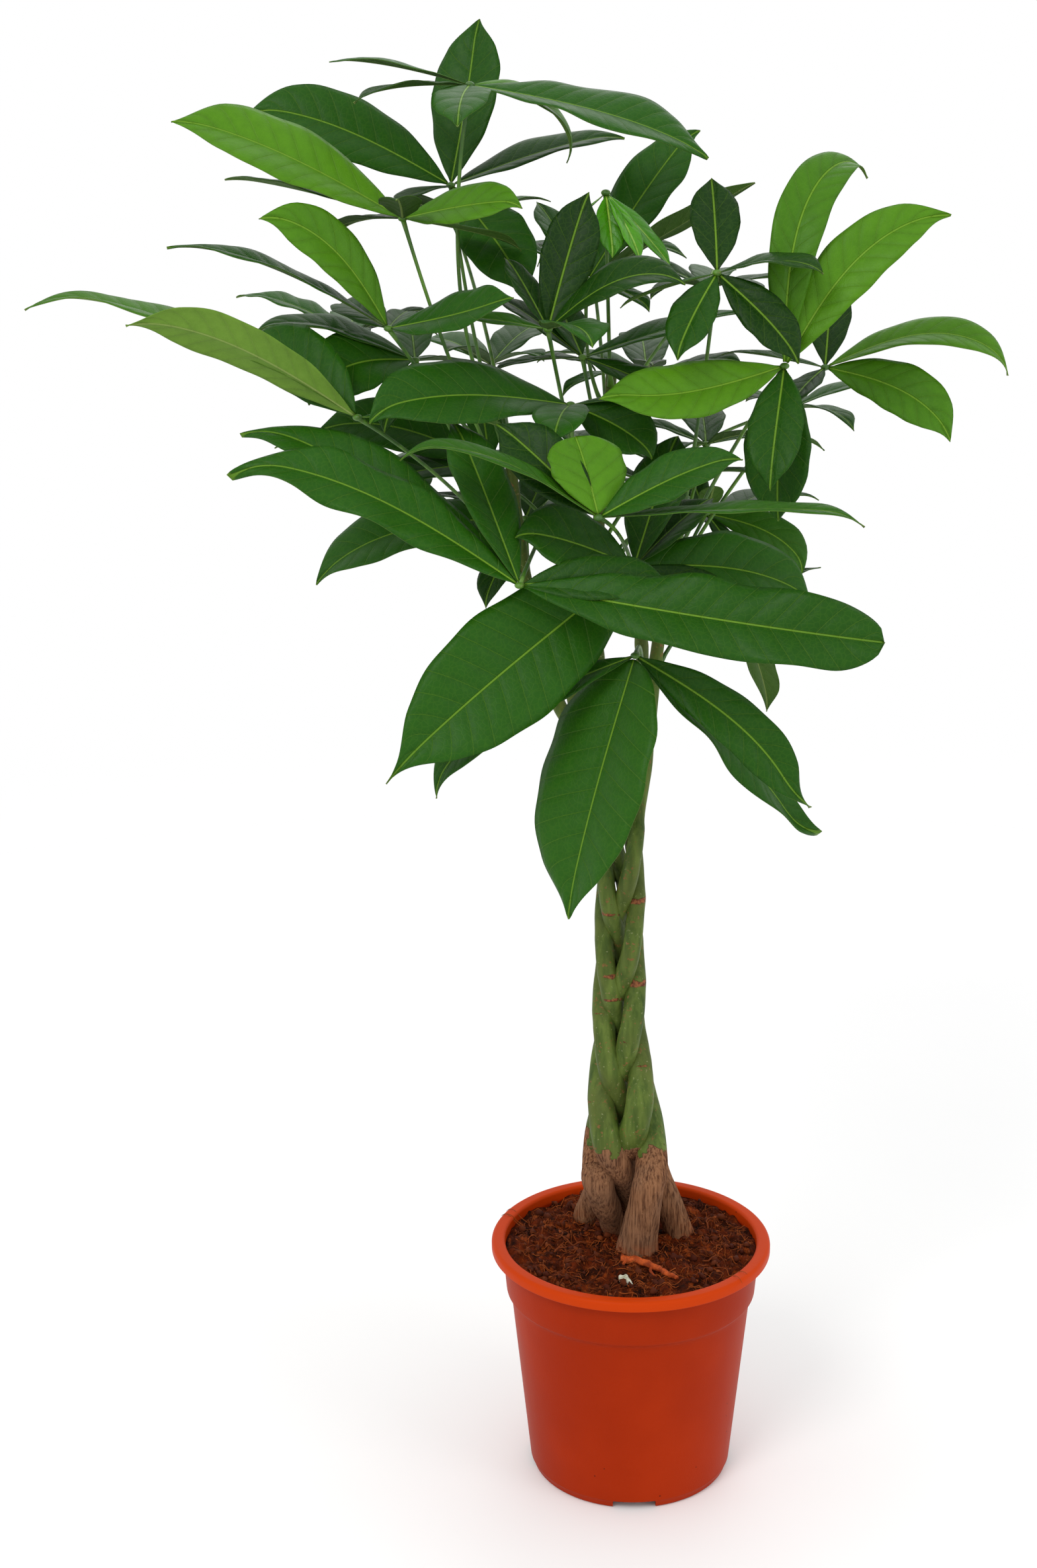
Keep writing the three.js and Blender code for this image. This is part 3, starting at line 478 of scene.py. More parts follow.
def stem_bark():
    paint = Paint("stem_bark")
    bark = paint.reads("bark")
    scar = paint.reads("scar")
    ragged = paint.grain(110, 5, 0.65)
    fleck = paint.grain(430, 3)
    streak = paint.grain(150, 4, 0.6, paint.stretched(1, 1, 0.14))
    fibre = paint.grain(620, 4, 0.65, paint.stretched(1, 1, 0.06))
    cloud = paint.grain(26, 3)
    crack = fibre.steps(0.5, 0.36)
    old = (bark + (ragged - 0.5) * 0.5).steps(0.42, 0.58)
    worn = (scar + (ragged - 0.5) * 1.1).steps(0.42, 0.6)
    green = paint.mix(streak.steps(0.3, 0.7), (52, 74, 22), (94, 112, 46))
    green = paint.mix(cloud.steps(0.35, 0.65) * 0.6, green, (78, 86, 36))
    green = paint.mix(fleck.steps(0.62, 0.72) * 0.55, green, (140, 146, 100))
    green = paint.mix((ragged * fleck).steps(0.33, 0.4) * 0.8, green, (120, 78, 44))
    grey = paint.mix(fibre.steps(0.3, 0.66), (88, 50, 28), (148, 104, 72))
    grey = paint.mix(cloud.steps(0.4, 0.7) * 0.4, grey, (126, 96, 74))
    grey = paint.mix(fleck.steps(0.6, 0.75) * 0.4, grey, (168, 128, 92))
    grey = paint.mix(crack * 0.45, grey, (48, 24, 12))
    low = paint.parts(paint.place)[2].steps((SOIL_CROWN + 14) * MM, (SOIL_CROWN - 2) * MM)
    grey = paint.mix(low * ragged.steps(0.4, 0.6) * 0.6, grey, (150, 70, 28))
    brown = paint.mix(fleck.steps(0.35, 0.65), (84, 42, 24), (140, 86, 52))
    paint.color = paint.mix(old, green, grey)
    paint.coat(worn * (1.0 - old), brown)
    height = old * (fibre * 1.5) + streak * 0.2 + fleck * 0.12 + worn * 0.35
    return paint.finish(0.5 + old * 0.3 + fleck * 0.1, height, 0.0014, 0.16)


def pot_plastic():
    paint = Paint("pot_plastic")
    x, y, z = paint.parts(paint.place)
    cloud = paint.grain(9, 3)
    fine = paint.grain(900, 2)
    scuff = paint.grain(60, 5, 0.7, paint.stretched(1, 1, 0.25))
    dust = paint.grain(240, 4, 0.7)
    speck = paint.cells(75, "F1").math("LESS_THAN", 0.042) * paint.grain(6, 1).steps(0.5, 0.54)
    # painted light: the band above the rim's foot, the same plastic as the wall, is painted a brighter
    # orange where light falls on the rim's top edge
    lit_rim_band = z.steps((RIM_FOOT - 1) * MM, (RIM_FOOT + 1) * MM)
    paint.color = paint.mix(cloud.steps(0.3, 0.7), (148, 38, 4), (160, 44, 6))
    paint.coat(lit_rim_band * 0.8, (192, 60, 6))
    paint.coat(scuff.steps(0.64, 0.8) * 0.1, (190, 100, 60))
    paint.coat(dust.steps(0.66, 0.78) * 0.16, (126, 42, 18))
    paint.coat(speck, (52, 18, 9))
    height = fine * 0.3 + cloud * 0.8 + scuff * 0.15
    return paint.finish(0.34 + cloud * 0.1 + scuff * 0.1, height, 0.00035, 0.05)


def peat():
    paint = Paint("peat")
    lump = paint.grain(70, 6, 0.7)
    fine = paint.grain(380, 5, 0.7)
    strand = paint.grain(200, 4, 0.6, paint.stretched(1, 0.25, 1))
    paint.color = paint.mix(lump.steps(0.35, 0.65), (34, 10, 2), (110, 40, 8))
    paint.coat(strand.steps(0.52, 0.68) * 0.8, (150, 66, 18))
    paint.coat(fine.steps(0.52, 0.68) * 0.7, (16, 5, 2))
    return paint.finish(0.86 + fine * 0.1, lump * 1.2 + fine * 0.8, 0.003, 0.1)


def coir():
    paint = Paint("coir")
    tint = paint.reads("tint")
    fine = paint.grain(500, 3)
    paint.color = paint.mix(tint, (66, 22, 6), (166, 82, 30))
    paint.coat(fine * 0.4, (50, 18, 6))
    return paint.finish(0.75 + fine * 0.1, fine, 0.0003, 0.15)


def root_bark():
    paint = Paint("root_bark")
    ridge = paint.grain(160, 5, 0.65)
    fine = paint.grain(700, 3)
    paint.color = paint.mix(ridge.steps(0.35, 0.7), (120, 44, 12), (196, 88, 34))
    paint.coat(fine.steps(0.6, 0.75) * 0.5, (88, 38, 18))
    return paint.finish(0.62 + fine * 0.15, ridge * 0.7 + fine * 0.3, 0.0012, 0.2)


def chip_stone():
    paint = Paint("chip_stone")
    fine = paint.grain(900, 4)
    vein = paint.grain(260, 3)
    paint.color = paint.mix(vein.steps(0.35, 0.65), (150, 148, 122), (198, 196, 178))
    paint.coat(fine.steps(0.6, 0.7) * 0.5, (110, 98, 80))
    return paint.finish(0.75 + fine * 0.1, fine * 0.5 + vein, 0.0008)


def pale_floor():
    """A floor that fades into the white round it between the two distances from the pot."""
    paint = Paint("pale_floor")
    soft = paint.grain(2.5, 2)
    grey = {0: soft, 6: (0.88, 0.88, 0.88, 1), 7: (0.9, 0.9, 0.9, 1)}
    paint.color = paint.add("Mix", {"data_type": "RGBA"}, grey, 2)
    out = paint.add("VectorMath", {"operation": "LENGTH"}, {0: paint.place}, "Value")
    fade = out.steps(FLOOR_FADE_END, FLOOR_FADE_START)
    return paint.finish(0.8, gloss=0.2, alpha=fade)


# ---- making pieces ----

def put_in_scene(name, data):
    thing = bpy.data.objects.new(name, data)
    bpy.context.scene.collection.objects.link(thing)
    return thing


def mesh_object(bm, name, scale=MM):
    """Makes an object of the mesh, scaled to metres."""
    bmesh.ops.scale(bm, vec=(scale, scale, scale), verts=bm.verts)
    mesh = bpy.data.meshes.new(name)
    bm.to_mesh(mesh)
    bm.free()
    return put_in_scene(name, mesh)


def finish_piece(bm, name, slot, materials, *nodes):
    """Makes the piece from its mesh. It stands for the plain nodes."""
    piece = mesh_object(bm, name)
    piece.data.shade_smooth()
    for material in materials:
        piece.data.materials.append(material)
    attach(piece, "root")
    if nodes:
        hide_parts(*nodes)
    return piece


def frames_along(points):
    """A matrix for each point, with +Z along the line and no twist."""
    frames = []
    turn = None
    for k, point in enumerate(points):
        ahead = points[min(k + 1, len(points) - 1)] - points[max(k - 1, 0)]
        ahead.normalize()
        if turn is None:
            turn = ahead.to_track_quat("Z", "Y")
        else:
            turn = (turn @ Vector((0, 0, 1))).rotation_difference(ahead) @ turn
        frames.append(Matrix.Translation(point) @ turn.to_matrix().to_4x4())
    return frames


def face_outwards(bm):
    bmesh.ops.recalc_face_normals(bm, faces=bm.faces)


def edges_of(verts):
    return list(dict.fromkeys(e for v in verts for e in v.link_edges))


def grow_tube(bm, points, radius_at, sides):
    """A closed tube drawn out ring by ring along the points. Returns the rings."""
    made = bmesh.ops.create_circle(bm, cap_ends=True, segments=sides, radius=1.0)
    ring = made["verts"]
    rings = [ring]
    last = len(points) - 1
    shapes = [place @ Matrix.Scale(radius_at(k / last, points[k]), 4)
              for k, place in enumerate(frames_along(points))]
    bmesh.ops.transform(bm, matrix=shapes[0], verts=ring)
    edges = edges_of(ring)
    for k in range(1, len(shapes)):
        grown = bmesh.ops.extrude_edge_only(bm, edges=edges)["geom"]
        ring = [g for g in grown if isinstance(g, bmesh.types.BMVert)]
        wanted = set(ring)
        edges = [g for g in grown if isinstance(g, bmesh.types.BMEdge)
                 and g.verts[0] in wanted and g.verts[1] in wanted]
        step = shapes[k] @ shapes[k - 1].inverted()
        bmesh.ops.transform(bm, matrix=step, verts=ring)
        rings.append(ring)
    bmesh.ops.holes_fill(bm, edges=edges, sides=sides)
    return rings


def around(radius, angle):
    """The two coordinates of a place on a circle."""
    return radius * cos(angle), radius * sin(angle)


def curve_through(points, spacing):
    """Points close together on a smooth line through the given ones."""
    line = []
    last = len(points) - 1
    for i in range(last):
        p0, p1 = points[max(i - 1, 0)], points[i]
        p2, p3 = points[i + 1], points[min(i + 2, last)]
        count = max(1, round((p2 - p1).length / spacing))
        for k in range(count):
            t = k / count
            a = 2 * p1 + (p2 - p0) * t
            b = (2 * p0 - 5 * p1 + 4 * p2 - p3) * t * t
            c = (3 * p1 - p0 - 3 * p2 + p3) * t ** 3
            line.append((a + b + c) / 2)
    line.append(points[-1].copy())
    return line


# ---- the pot ----

def wall_radius(z):
    top = COLLAR_FOOT_RADIUS - COLLAR_STEP
    return blend(BASE_RADIUS + 1.2, top, z / COLLAR_FOOT)


def inside_radius(z):
    if z < COLLAR_FOOT:
        return wall_radius(z) - WALL
    up = (z - COLLAR_FOOT) / (COLLAR_DEPTH - RIM_DEPTH)
    return blend(COLLAR_FOOT_RADIUS, COLLAR_TOP_RADIUS, min(up, 1)) - WALL


def round_corner(centre, radius, start, end, steps):
    corner = []
    for i in range(steps + 1):
        x, y = around(radius, rad(blend(start, end, i / steps)))
        corner.append((centre[0] + x, centre[1] + y))
    return corner


def pot_profile():
    floor_top = FLOOR_RAISE + FLOOR_THICKNESS
    inner = BASE_RADIUS - FOOT_RING_WIDTH
    pad = 0.3 * BASE_RADIUS
    inside = inside_radius(RIM_FOOT)
    profile = [(0, 0.2), (pad - 0.8, 0.2), (pad, 1), (pad, FLOOR_RAISE - 0.5),
               (pad + 0.5, FLOOR_RAISE), (inner - 0.5, FLOOR_RAISE), (inner, FLOOR_RAISE - 0.5),
               (inner, 0.6), (inner + 0.6, 0)]
    profile += round_corner((BASE_RADIUS - FOOT_ROUNDING, FOOT_ROUNDING), FOOT_ROUNDING, -90, 0, 4)
    profile += [(wall_radius(NOTCH_HEIGHT) - 0.5, NOTCH_HEIGHT - 0.4),
                (wall_radius(NOTCH_HEIGHT), NOTCH_HEIGHT + 0.2),
                (wall_radius(NOTCH_HEIGHT + 0.8), NOTCH_HEIGHT + 0.8)]
    for share in (0.25, 0.5, 0.75, 0.95):
        z = COLLAR_FOOT * share
        profile.append((wall_radius(z), z))
    step = COLLAR_FOOT - COLLAR_STEP
    profile += [(wall_radius(step) - 0.1, step - 1.2), (wall_radius(step) + 0.3, step),
                (COLLAR_FOOT_RADIUS - 0.9, COLLAR_FOOT - 0.9),
                (COLLAR_FOOT_RADIUS - 0.25, COLLAR_FOOT - 0.1),
                (COLLAR_FOOT_RADIUS, COLLAR_FOOT + 0.9)]
    for share in (0.3, 0.6, 0.85):
        z = blend(COLLAR_FOOT, RIM_FOOT - WALL, share)
        profile.append((blend(COLLAR_FOOT_RADIUS, COLLAR_TOP_RADIUS, share), z))
    profile += [(COLLAR_TOP_RADIUS, RIM_FOOT - 2.2), (COLLAR_TOP_RADIUS + 0.5, RIM_FOOT - 0.5),
                (COLLAR_TOP_RADIUS + 1.4, RIM_FOOT - 0.1), (RIM_RADIUS - 1.2, RIM_FOOT)]
    profile += round_corner((RIM_RADIUS - 1, RIM_FOOT + 1), 1, -90, 0, 3)[1:]
    profile += round_corner((RIM_RADIUS - 2.9, POT_HEIGHT - 2.9), 2.9, 0, 90, 6)
    profile += round_corner((inside + 2.6, POT_HEIGHT - 2.6), 2.6, 90, 180, 5)
    for z in (RIM_FOOT, blend(COLLAR_FOOT, RIM_FOOT, 0.5), COLLAR_FOOT, step,
              0.6 * COLLAR_FOOT, 0.3 * COLLAR_FOOT, floor_top + 2):
        profile.append((inside_radius(z), z))
    profile += [(inside_radius(floor_top) - 2, floor_top), (0, floor_top)]
    return profile


def spin_profile(bm, profile, steps):
    """Turns a profile of (radius, height) once round the axis and closes it."""
    verts = [bm.verts.new((r, 0, z)) for r, z in profile]
    edges = [bm.edges.new(pair) for pair in zip(verts, verts[1:])]
    bmesh.ops.spin(bm, geom=verts + edges, cent=(0, 0, 0), axis=(0, 0, 1),
                   angle=2 * pi, steps=steps, use_merge=True)
    bmesh.ops.remove_doubles(bm, verts=bm.verts, dist=1e-3)
    face_outwards(bm)


def cutters():
    """The notches through the foot ring and the drain holes, as one mesh of closed solids."""
    bm = bmesh.new()
    for i in range(NOTCHES):
        turn = Matrix.Rotation(2 * pi * i / NOTCHES, 4, "Z")
        size = Matrix.Diagonal((NOTCH_WIDTH, 16, 2 * NOTCH_HEIGHT, 1))
        place = Matrix.Translation((0, -BASE_RADIUS, 0))
        made = bmesh.ops.create_cube(bm, size=1, matrix=turn @ place @ size)
        corners = []
        for edge in edges_of(made["verts"]):
            a, b = [turn.inverted() @ vert.co for vert in edge.verts]
            if min(a.z, b.z) > 0 and abs(a.z - b.z) < 1e-3 and abs(a.x - b.x) < 1e-3:
                corners.append(edge)
        bmesh.ops.bevel(bm, geom=corners, offset=1.2, segments=3, profile=0.5,
                        affect="EDGES", material=-1)
    for i in range(DRAINS):
        turn = Matrix.Rotation(2 * pi * (i + 0.5) / DRAINS, 4, "Z")
        place = turn @ Matrix.Translation((DRAIN_CIRCLE_RADIUS, 0, 0))
        bmesh.ops.create_cone(bm, cap_ends=True, segments=24, radius1=DRAIN_RADIUS,
                              radius2=DRAIN_RADIUS, depth=40, matrix=place)
    return mesh_object(bm, "cutters")


def make_pot():
    bm = bmesh.new()
    spin_profile(bm, pot_profile(), 128)
    pot = finish_piece(bm, "moulded_pot", "pot", [pot_plastic()], "pot")
    tool = cutters()
    cut = pot.modifiers.new("cut", "BOOLEAN")
    cut.operation = "DIFFERENCE"
    cut.solver = "EXACT"
    cut.object = tool
    bpy.context.view_layer.update()
    depsgraph = bpy.context.evaluated_depsgraph_get()
    shaped = bpy.data.meshes.new_from_object(pot.evaluated_get(depsgraph))
    pot.modifiers.clear()
    pot.data = shaped
    bpy.data.objects.remove(tool)
    shaped.shade_smooth()
    shaped.set_sharp_from_angle(angle=rad(40))


# ---- the plaited stems ----

def plait_point(index, z):
    turns = (PLAIT_PHASE_HEIGHT - z) / PLAIT_PITCH - index / len(STEMS)
    angle = 2 * pi * turns
    below = max(PLAIT_LOOSE - z, 0)
    half_width = PLAIT_HALF_WIDTH + PLAIT_WIDENING * below
    half_depth = PLAIT_HALF_DEPTH + PLAIT_DEEPENING * below
    centre = TRUNK_LEAN * clamp((z - SOIL_CROWN) / (PLAIT_LOOSE - SOIL_CROWN))
    forward = half_depth * sin(2 * angle) + PLAIT_OVERLAP * sin(angle)
    return Vector((centre + half_width * cos(angle), -forward, z))


def stem_line(index):
    foot, shoot = STEMS[index][1], STEMS[index][3]
    points = [Vector((foot[0] * 1.1, foot[1] * 1.1, SOIL_EDGE - 22)),
              Vector((foot[0], foot[1], SOIL_CROWN))]
    for i in range(PLAIT_STEPS + 1):
        points.append(plait_point(index, blend(PLAIT_FOOT, PLAIT_TOP, i / PLAIT_STEPS)))
    points += [Vector(p) for p in shoot]
    return curve_through(points, 2.4)


def stem_radius(index, z):
    foot_radius, shoot = STEMS[index][2], STEMS[index][3]
    if z > PLAIT_TOP:
        up = (z - PLAIT_TOP) / (shoot[-1][2] - PLAIT_TOP)
        return blend(STEM_RADIUS, STEM_TIP_RADIUS, min(up, 1))
    body = STEM_RADIUS + STEM_THICKENING * max(PLAIT_LOOSE - z, 0)
    down = clamp((FLARE_TOP - z) / (FLARE_TOP - SOIL_CROWN))
    return blend(body, foot_radius, down * down)


def bark_fullness(z):
    """How far the bark stands out from the plain stem at a height."""
    for (low, thin), (high, thick) in zip(BARK_FULLNESS, BARK_FULLNESS[1:]):
        if z < high:
            return blend(thin, thick, smooth(low, high, z))
    return BARK_FULLNESS[-1][1]


def nearest_stem(lines, point):
    return min(range(len(lines)), key=lambda i: min((p - point).length for p in lines[i]))


def make_stem(index, lines, scars, material):
    name = STEMS[index][0]
    line = lines[index]
    bm = bmesh.new()
    bark_layer = bm.verts.layers.float.new("bark")
    scar_layer = bm.verts.layers.float.new("scar")

    def radius_at(share, point):
        swell = sum(0.35 * strength * exp(-((point.z - mark.z) / 4) ** 2)
                    for mark, _, strength in scars)
        return stem_radius(index, point.z) + bark_fullness(point.z) + swell

    rings = grow_tube(bm, line, radius_at, STEM_SIDES)
    seed = Vector((index * 37.0, 11.0, 5.0))
    for centre, ring in zip(line, rings):
        for vert in ring:
            out = (vert.co - centre).normalized()
            z = vert.co.z
            ragged = 10 * noise.noise(vert.co * 0.09 + seed) + 5 * noise.noise(vert.co * 0.3 + seed)
            old = smooth(BARK_LINE + 3, BARK_LINE - 3, z + ragged)
            foot = smooth(SOIL_CROWN + 50, SOIL_CROWN, z)
            lump = noise.noise(vert.co * 0.05 + seed) * 0.6
            way = Vector((*around(1, atan2(out.y, out.x)), 0))
            broad = noise.noise(way * 3.2 + Vector((0, 0, z * 0.012)) + seed)
            fine = noise.noise(way * 11 + Vector((0, 0, z * 0.05)) + seed)
            vert.co += out * (lump + old * (1.1 * broad * (0.4 + foot) + 0.55 * fine))
            vert[bark_layer] = old
            worn = 0.0
            for mark, half, strength in scars:
                above = (z - mark.z + 1.2 * noise.noise(vert.co * 0.25)) / half
                facing = 0.5 + 0.5 * out.dot((mark - centre).normalized())
                worn = max(worn, strength * exp(-above * above) * smooth(0.3, 0.85, facing))
            vert[scar_layer] = worn
    face_outwards(bm)
    finish_piece(bm, name + "_bark", "stem", [material], name)


def make_stems():
    lines = [stem_line(index) for index in range(len(STEMS))]
    scars = [[] for _ in STEMS]
    for point, half, strength in SCARS:
        mark = Vector(point)
        scars[nearest_stem(lines, mark)].append((mark, half, strength))
    chance = random.Random(17)
    for index, stem in enumerate(STEMS):
        for _ in range(SHOOT_SCARS):
            height = chance.uniform(PLAIT_TOP + 10, stem[3][-1][2] - 20)
            on_line = min(lines[index], key=lambda p: abs(p.z - height))
            mark = on_line + Vector((*around(5, chance.uniform(0, 2 * pi)), 0))
            scars[index].append((mark, chance.uniform(1.2, 3), chance.uniform(0.5, 1)))
    material = stem_bark()
    for index in range(len(STEMS)):
        make_stem(index, lines, scars[index], material)
    return lines


# ---- the soil and what lies on it ----

CRUMBS = 650
FIBRES = 800
FIBRES_TOGETHER = 90  # fibres in one piece
FIBRE_STEPS = 6
ROOTLETS = [  # place, way and length of the thickest strands
    (-51, 11, 3.6, 30), (-34, -8, 4.4, 34), (-58, -20, 0.4, 26), (52, -32, 5.5, 26),
    (-20, -52, 2.4, 22), (60, 18, 1.2, 24),
]
# fibres that lie over the rim: the bearing of each and how far it drifts sideways
RIM_FIBRES = [(154, 0.5), (158, -0.2), (160, 0.9), (-38, 0.3), (-42, -0.5)]
# the path of one: radius, height, and its drift along x and y
RIM_FIBRE_PATH = [(86, SOIL_EDGE + 1, 0, 0), (92, POT_HEIGHT - 4, 0, 1),
                  (97, POT_HEIGHT + 0.4, 0, 2), (102, POT_HEIGHT + 1, 1, 3),
                  (105, POT_HEIGHT - 2.1, 1, 5)]
SURFACE_ROOT = [(-9, -36), (3, -38), (13, -45), (22, -54), (31, -63)]
ROOT_BRANCHES = [((-4, -37), -2.2), ((14, -46), -1.9)]  # the start and way of each
CHIP_SHAPE = (4.2, 5.4, 1.9)


def soil_height(x, y):
    """The plain height of the soil at a place."""
    out = min(hypot(x, y) / inside_radius(SOIL_EDGE), 1)
    return SOIL_EDGE + SOIL_CROWN_HEIGHT * (1 - out * out)


def soil_surface(x, y):
    """The height of the soil with its lumps."""
    edge = smooth(0.9, 1.0, hypot(x, y) / inside_radius(SOIL_EDGE))
    broad = noise.fractal(Vector((x, y, 3)) * 0.04, 1.0, 2.0, 3)
    small = noise.fractal(Vector((x, y, 9)) * 0.16, 0.7, 2.1, 5)
    clod = abs(noise.noise(Vector((x, y, 21)) * 0.11))
    lumps = 3.6 * broad + 3.4 * small - 3.5 * clod
    return soil_height(x, y) + lumps * (1 - 0.4 * edge) + 1.0


def make_soil():
    bm = bmesh.new()
    top_radius = inside_radius(SOIL_EDGE) - 0.2
    profile = [(0, 8), (inside_radius(8) - 0.6, 8)]
    for z in (COLLAR_FOOT - COLLAR_STEP, COLLAR_FOOT):
        profile.append((inside_radius(z) - 0.6, z))
    profile.append((top_radius, SOIL_EDGE - 4))
    rings = 56
    for i in range(rings + 1):
        r = top_radius * (1 - i / rings)
        profile.append((r, soil_height(r, 0)))
    spin_profile(bm, profile, 200)
    for vert in bm.verts:
        if vert.co.z > SOIL_EDGE - 1:
            vert.co.z = soil_surface(vert.co.x, vert.co.y)
    finish_piece(bm, "peat_soil", "soil", [peat()], "soil")


def scatter_crumbs():
    """Loose crumbs of peat on the soil."""
    chance = random.Random(5)
    bm = bmesh.new()
    tint_layer = bm.verts.layers.float.new("tint")
    for k in range(CRUMBS):
        r = (inside_radius(SOIL_EDGE) - 4) * sqrt(chance.random())
        x, y = around(r, chance.uniform(0, 2 * pi))
        size = chance.uniform(0.6, 1.5) * (1 + chance.random() ** 4)
        large = k % 5 == 0
        if large:
            size = chance.uniform(1.8, 3.4)
        turn = Matrix.Rotation(chance.uniform(0, pi), 4, (0.4, 0.5, 0.77))
        shape = Matrix.Diagonal((size * 1.3, size, size * 0.7, 1))
        place = Matrix.Translation((x, y, soil_surface(x, y) + 0.3 * size)) @ turn @ shape
        made = bmesh.ops.create_icosphere(bm, subdivisions=1, radius=1, matrix=place)
        tint = chance.random() ** 2 * (0.25 if large else 0.7)
        for vert in made["verts"]:
            vert.co += Vector((chance.uniform(-1, 1), chance.uniform(-1, 1),
                               chance.uniform(-1, 1))) * (0.34 * size)
            vert[tint_layer] = tint
    finish_piece(bm, "peat_crumbs", "soil", [coir()])


def fibre_points(chance, x, y, heading_angle, length, curl, lift):
    points = []
    for i in range(FIBRE_STEPS):
        z = soil_surface(x, y) + 0.4 + lift * sin(pi * (i + 0.4) / FIBRE_STEPS)
        points.append(Vector((x, y, z)))
        heading_angle += chance.uniform(-curl, curl)
        step_x, step_y = around(length / FIBRE_STEPS, heading_angle)
        x += step_x
        y += step_y
    return points


def lay_fibres(first, strands, material):
    """Makes one piece from some of the strands: their points, radius, tint and sides."""
    bm = bmesh.new()
    tint_layer = bm.verts.layers.float.new("tint")
    for points, radius, tint, sides in strands:
        line = curve_through(points, 2.5)
        rings = grow_tube(bm, line, lambda t, p: radius * (1 - 0.6 * t), sides)
        for ring in rings:
            for vert in ring:
                vert[tint_layer] = tint
    face_outwards(bm)
    finish_piece(bm, f"coir_fibres_{first // FIBRES_TOGETHER + 1}", "soil", [material])


def scatter_fibres():
    """Coir fibres and rootlets that lie on the soil, a few of them over the rim."""
    chance = random.Random(11)
    limit = inside_radius(SOIL_EDGE) - 5
    strands = []
    for _ in range(FIBRES):
        r = limit * sqrt(chance.random())
        x, y = around(r, chance.uniform(0, 2 * pi))
        length = chance.uniform(7, 24)
        way = chance.uniform(0, 2 * pi)
        points = fibre_points(chance, x, y, way, length, 0.7, chance.uniform(0, 2.2))
        points = [p for p in points if hypot(p.x, p.y) < limit + 3]
        if len(points) > 2:
            strands.append((points, chance.uniform(0.2, 0.52), chance.random(), 4))
    for x, y, way, length in ROOTLETS:
        strands.append((fibre_points(chance, x, y, way, length, 1.0, 3.0), 0.8, 0.35, 6))
    for bearing, drift in RIM_FIBRES:
        points = []
        for r, z, drift_x, drift_y in RIM_FIBRE_PATH:
            x, y = around(r, rad(bearing))
            points.append(Vector((x + drift * drift_x, y + drift * drift_y, z)))
        strands.append((points, 0.4, 0.7, 4))
    material = coir()
    for first in range(0, len(strands), FIBRES_TOGETHER):
        lay_fibres(first, strands[first:first + FIBRES_TOGETHER], material)


def make_surface_root():
    bm = bmesh.new()
    points = [Vector((x, y, soil_height(x, y) + 3.0)) for x, y in SURFACE_ROOT]
    line = curve_through(points, 1.6)
    rings = grow_tube(bm, line, lambda t, p: blend(3.3, 1.5, t), 18)
    for centre, ring in zip(line, rings):
        for vert in ring:
            out = (vert.co - centre).normalized()
            knob = noise.fractal(vert.co * 0.22, 0.8, 2.0, 4)
            vert.co += out * (1.1 * knob)
    for (x, y), way in ROOT_BRANCHES:
        start = Vector((x, y, soil_height(x, y) + 2.4))
        branch = [start, start + Vector((*around(6, way), -0.6)),
                  start + Vector((*around(13, way + 0.5), -2))]
        grow_tube(bm, curve_through(branch, 1.6), lambda t, p: blend(1.5, 0.6, t), 10)
    face_outwards(bm)
    finish_piece(bm, "surface_root_bark", "root", [root_bark()], "surface_root")


def make_chip():
    bm = bmesh.new()
    low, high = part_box("pale_chip")
    centre = (low + high) / 2 / MM
    turn = Matrix.Rotation(rad(35), 4, "X") @ Matrix.Rotation(rad(25), 4, "Z")
    shape = Matrix.Translation(centre) @ turn @ Matrix.Diagonal((*CHIP_SHAPE, 1))
    bmesh.ops.create_icosphere(bm, subdivisions=4, radius=1, matrix=shape)
    for vert in bm.verts:
        out = vert.co - centre
        facet = noise.cell(vert.co * 0.4) * 0.1 + noise.noise(vert.co * 0.3) * 0.35
        vert.co += out * facet
    finish_piece(bm, "pale_chip_stone", "chip", [chip_stone()], "pale_chip")


# ---- the leaves ----

def heading(bearing, rise):
    level, up = around(1, rad(rise))
    return Vector((*around(level, rad(bearing)), up))


def outline(share, wedge, blunt):
    """Half the width of a blade as a share of its greatest. Below 0, blunt is sharper than usual."""
    widest = wedge / (wedge + BLADE_POINT)
    point = blend(BLADE_POINT, BLUNT_POINT, blunt * smooth(widest, 0.9, share))
    peak = widest ** wedge * (1 - widest) ** point
    sharpened = min(0.6 * (1 - blunt), 0.85) * smooth(0.8, 1.0, share)
    return share ** wedge * (1 - share) ** point / peak * (1 - sharpened)


def blade_line(hub, leaflet, habit):
    """The middle line of a leaflet as a list of (place, tangent, up, side)."""
    bearing, rise, droop, length = leaflet[:4]
    roll = leaflet[4] if len(leaflet) > 4 else 0
    place = hub + heading(bearing, rise) * BLADE_START
    line = []
    for k in range(BLADE_STEPS + 1):
        share = k / BLADE_STEPS
        e = rise + droop * share * share - habit["curl"] * smooth(0.78, 1.05, share)
        b = bearing + habit["bend"] * (share - 0.4) * 2
        tangent = heading(b, e)
        turn = roll + habit["twist"] * (share - 0.4)
        up = Matrix.Rotation(rad(turn), 3, tangent) @ heading(b, e + 90)
        line.append((place.copy(), tangent, up, tangent.cross(up)))
        place += tangent * (length / BLADE_STEPS)
    return line


def line_at(line, share):
    at = clamp(share) * (len(line) - 1)
    k = min(int(at), len(line) - 2)
    f = at - k
    first, second = line[k], line[k + 1]
    return [a.lerp(b, f) for a, b in zip(first, second)]


def blade_width(leaflet):
    return leaflet[5] if len(leaflet) > 5 else BLADE_ASPECT * leaflet[3]


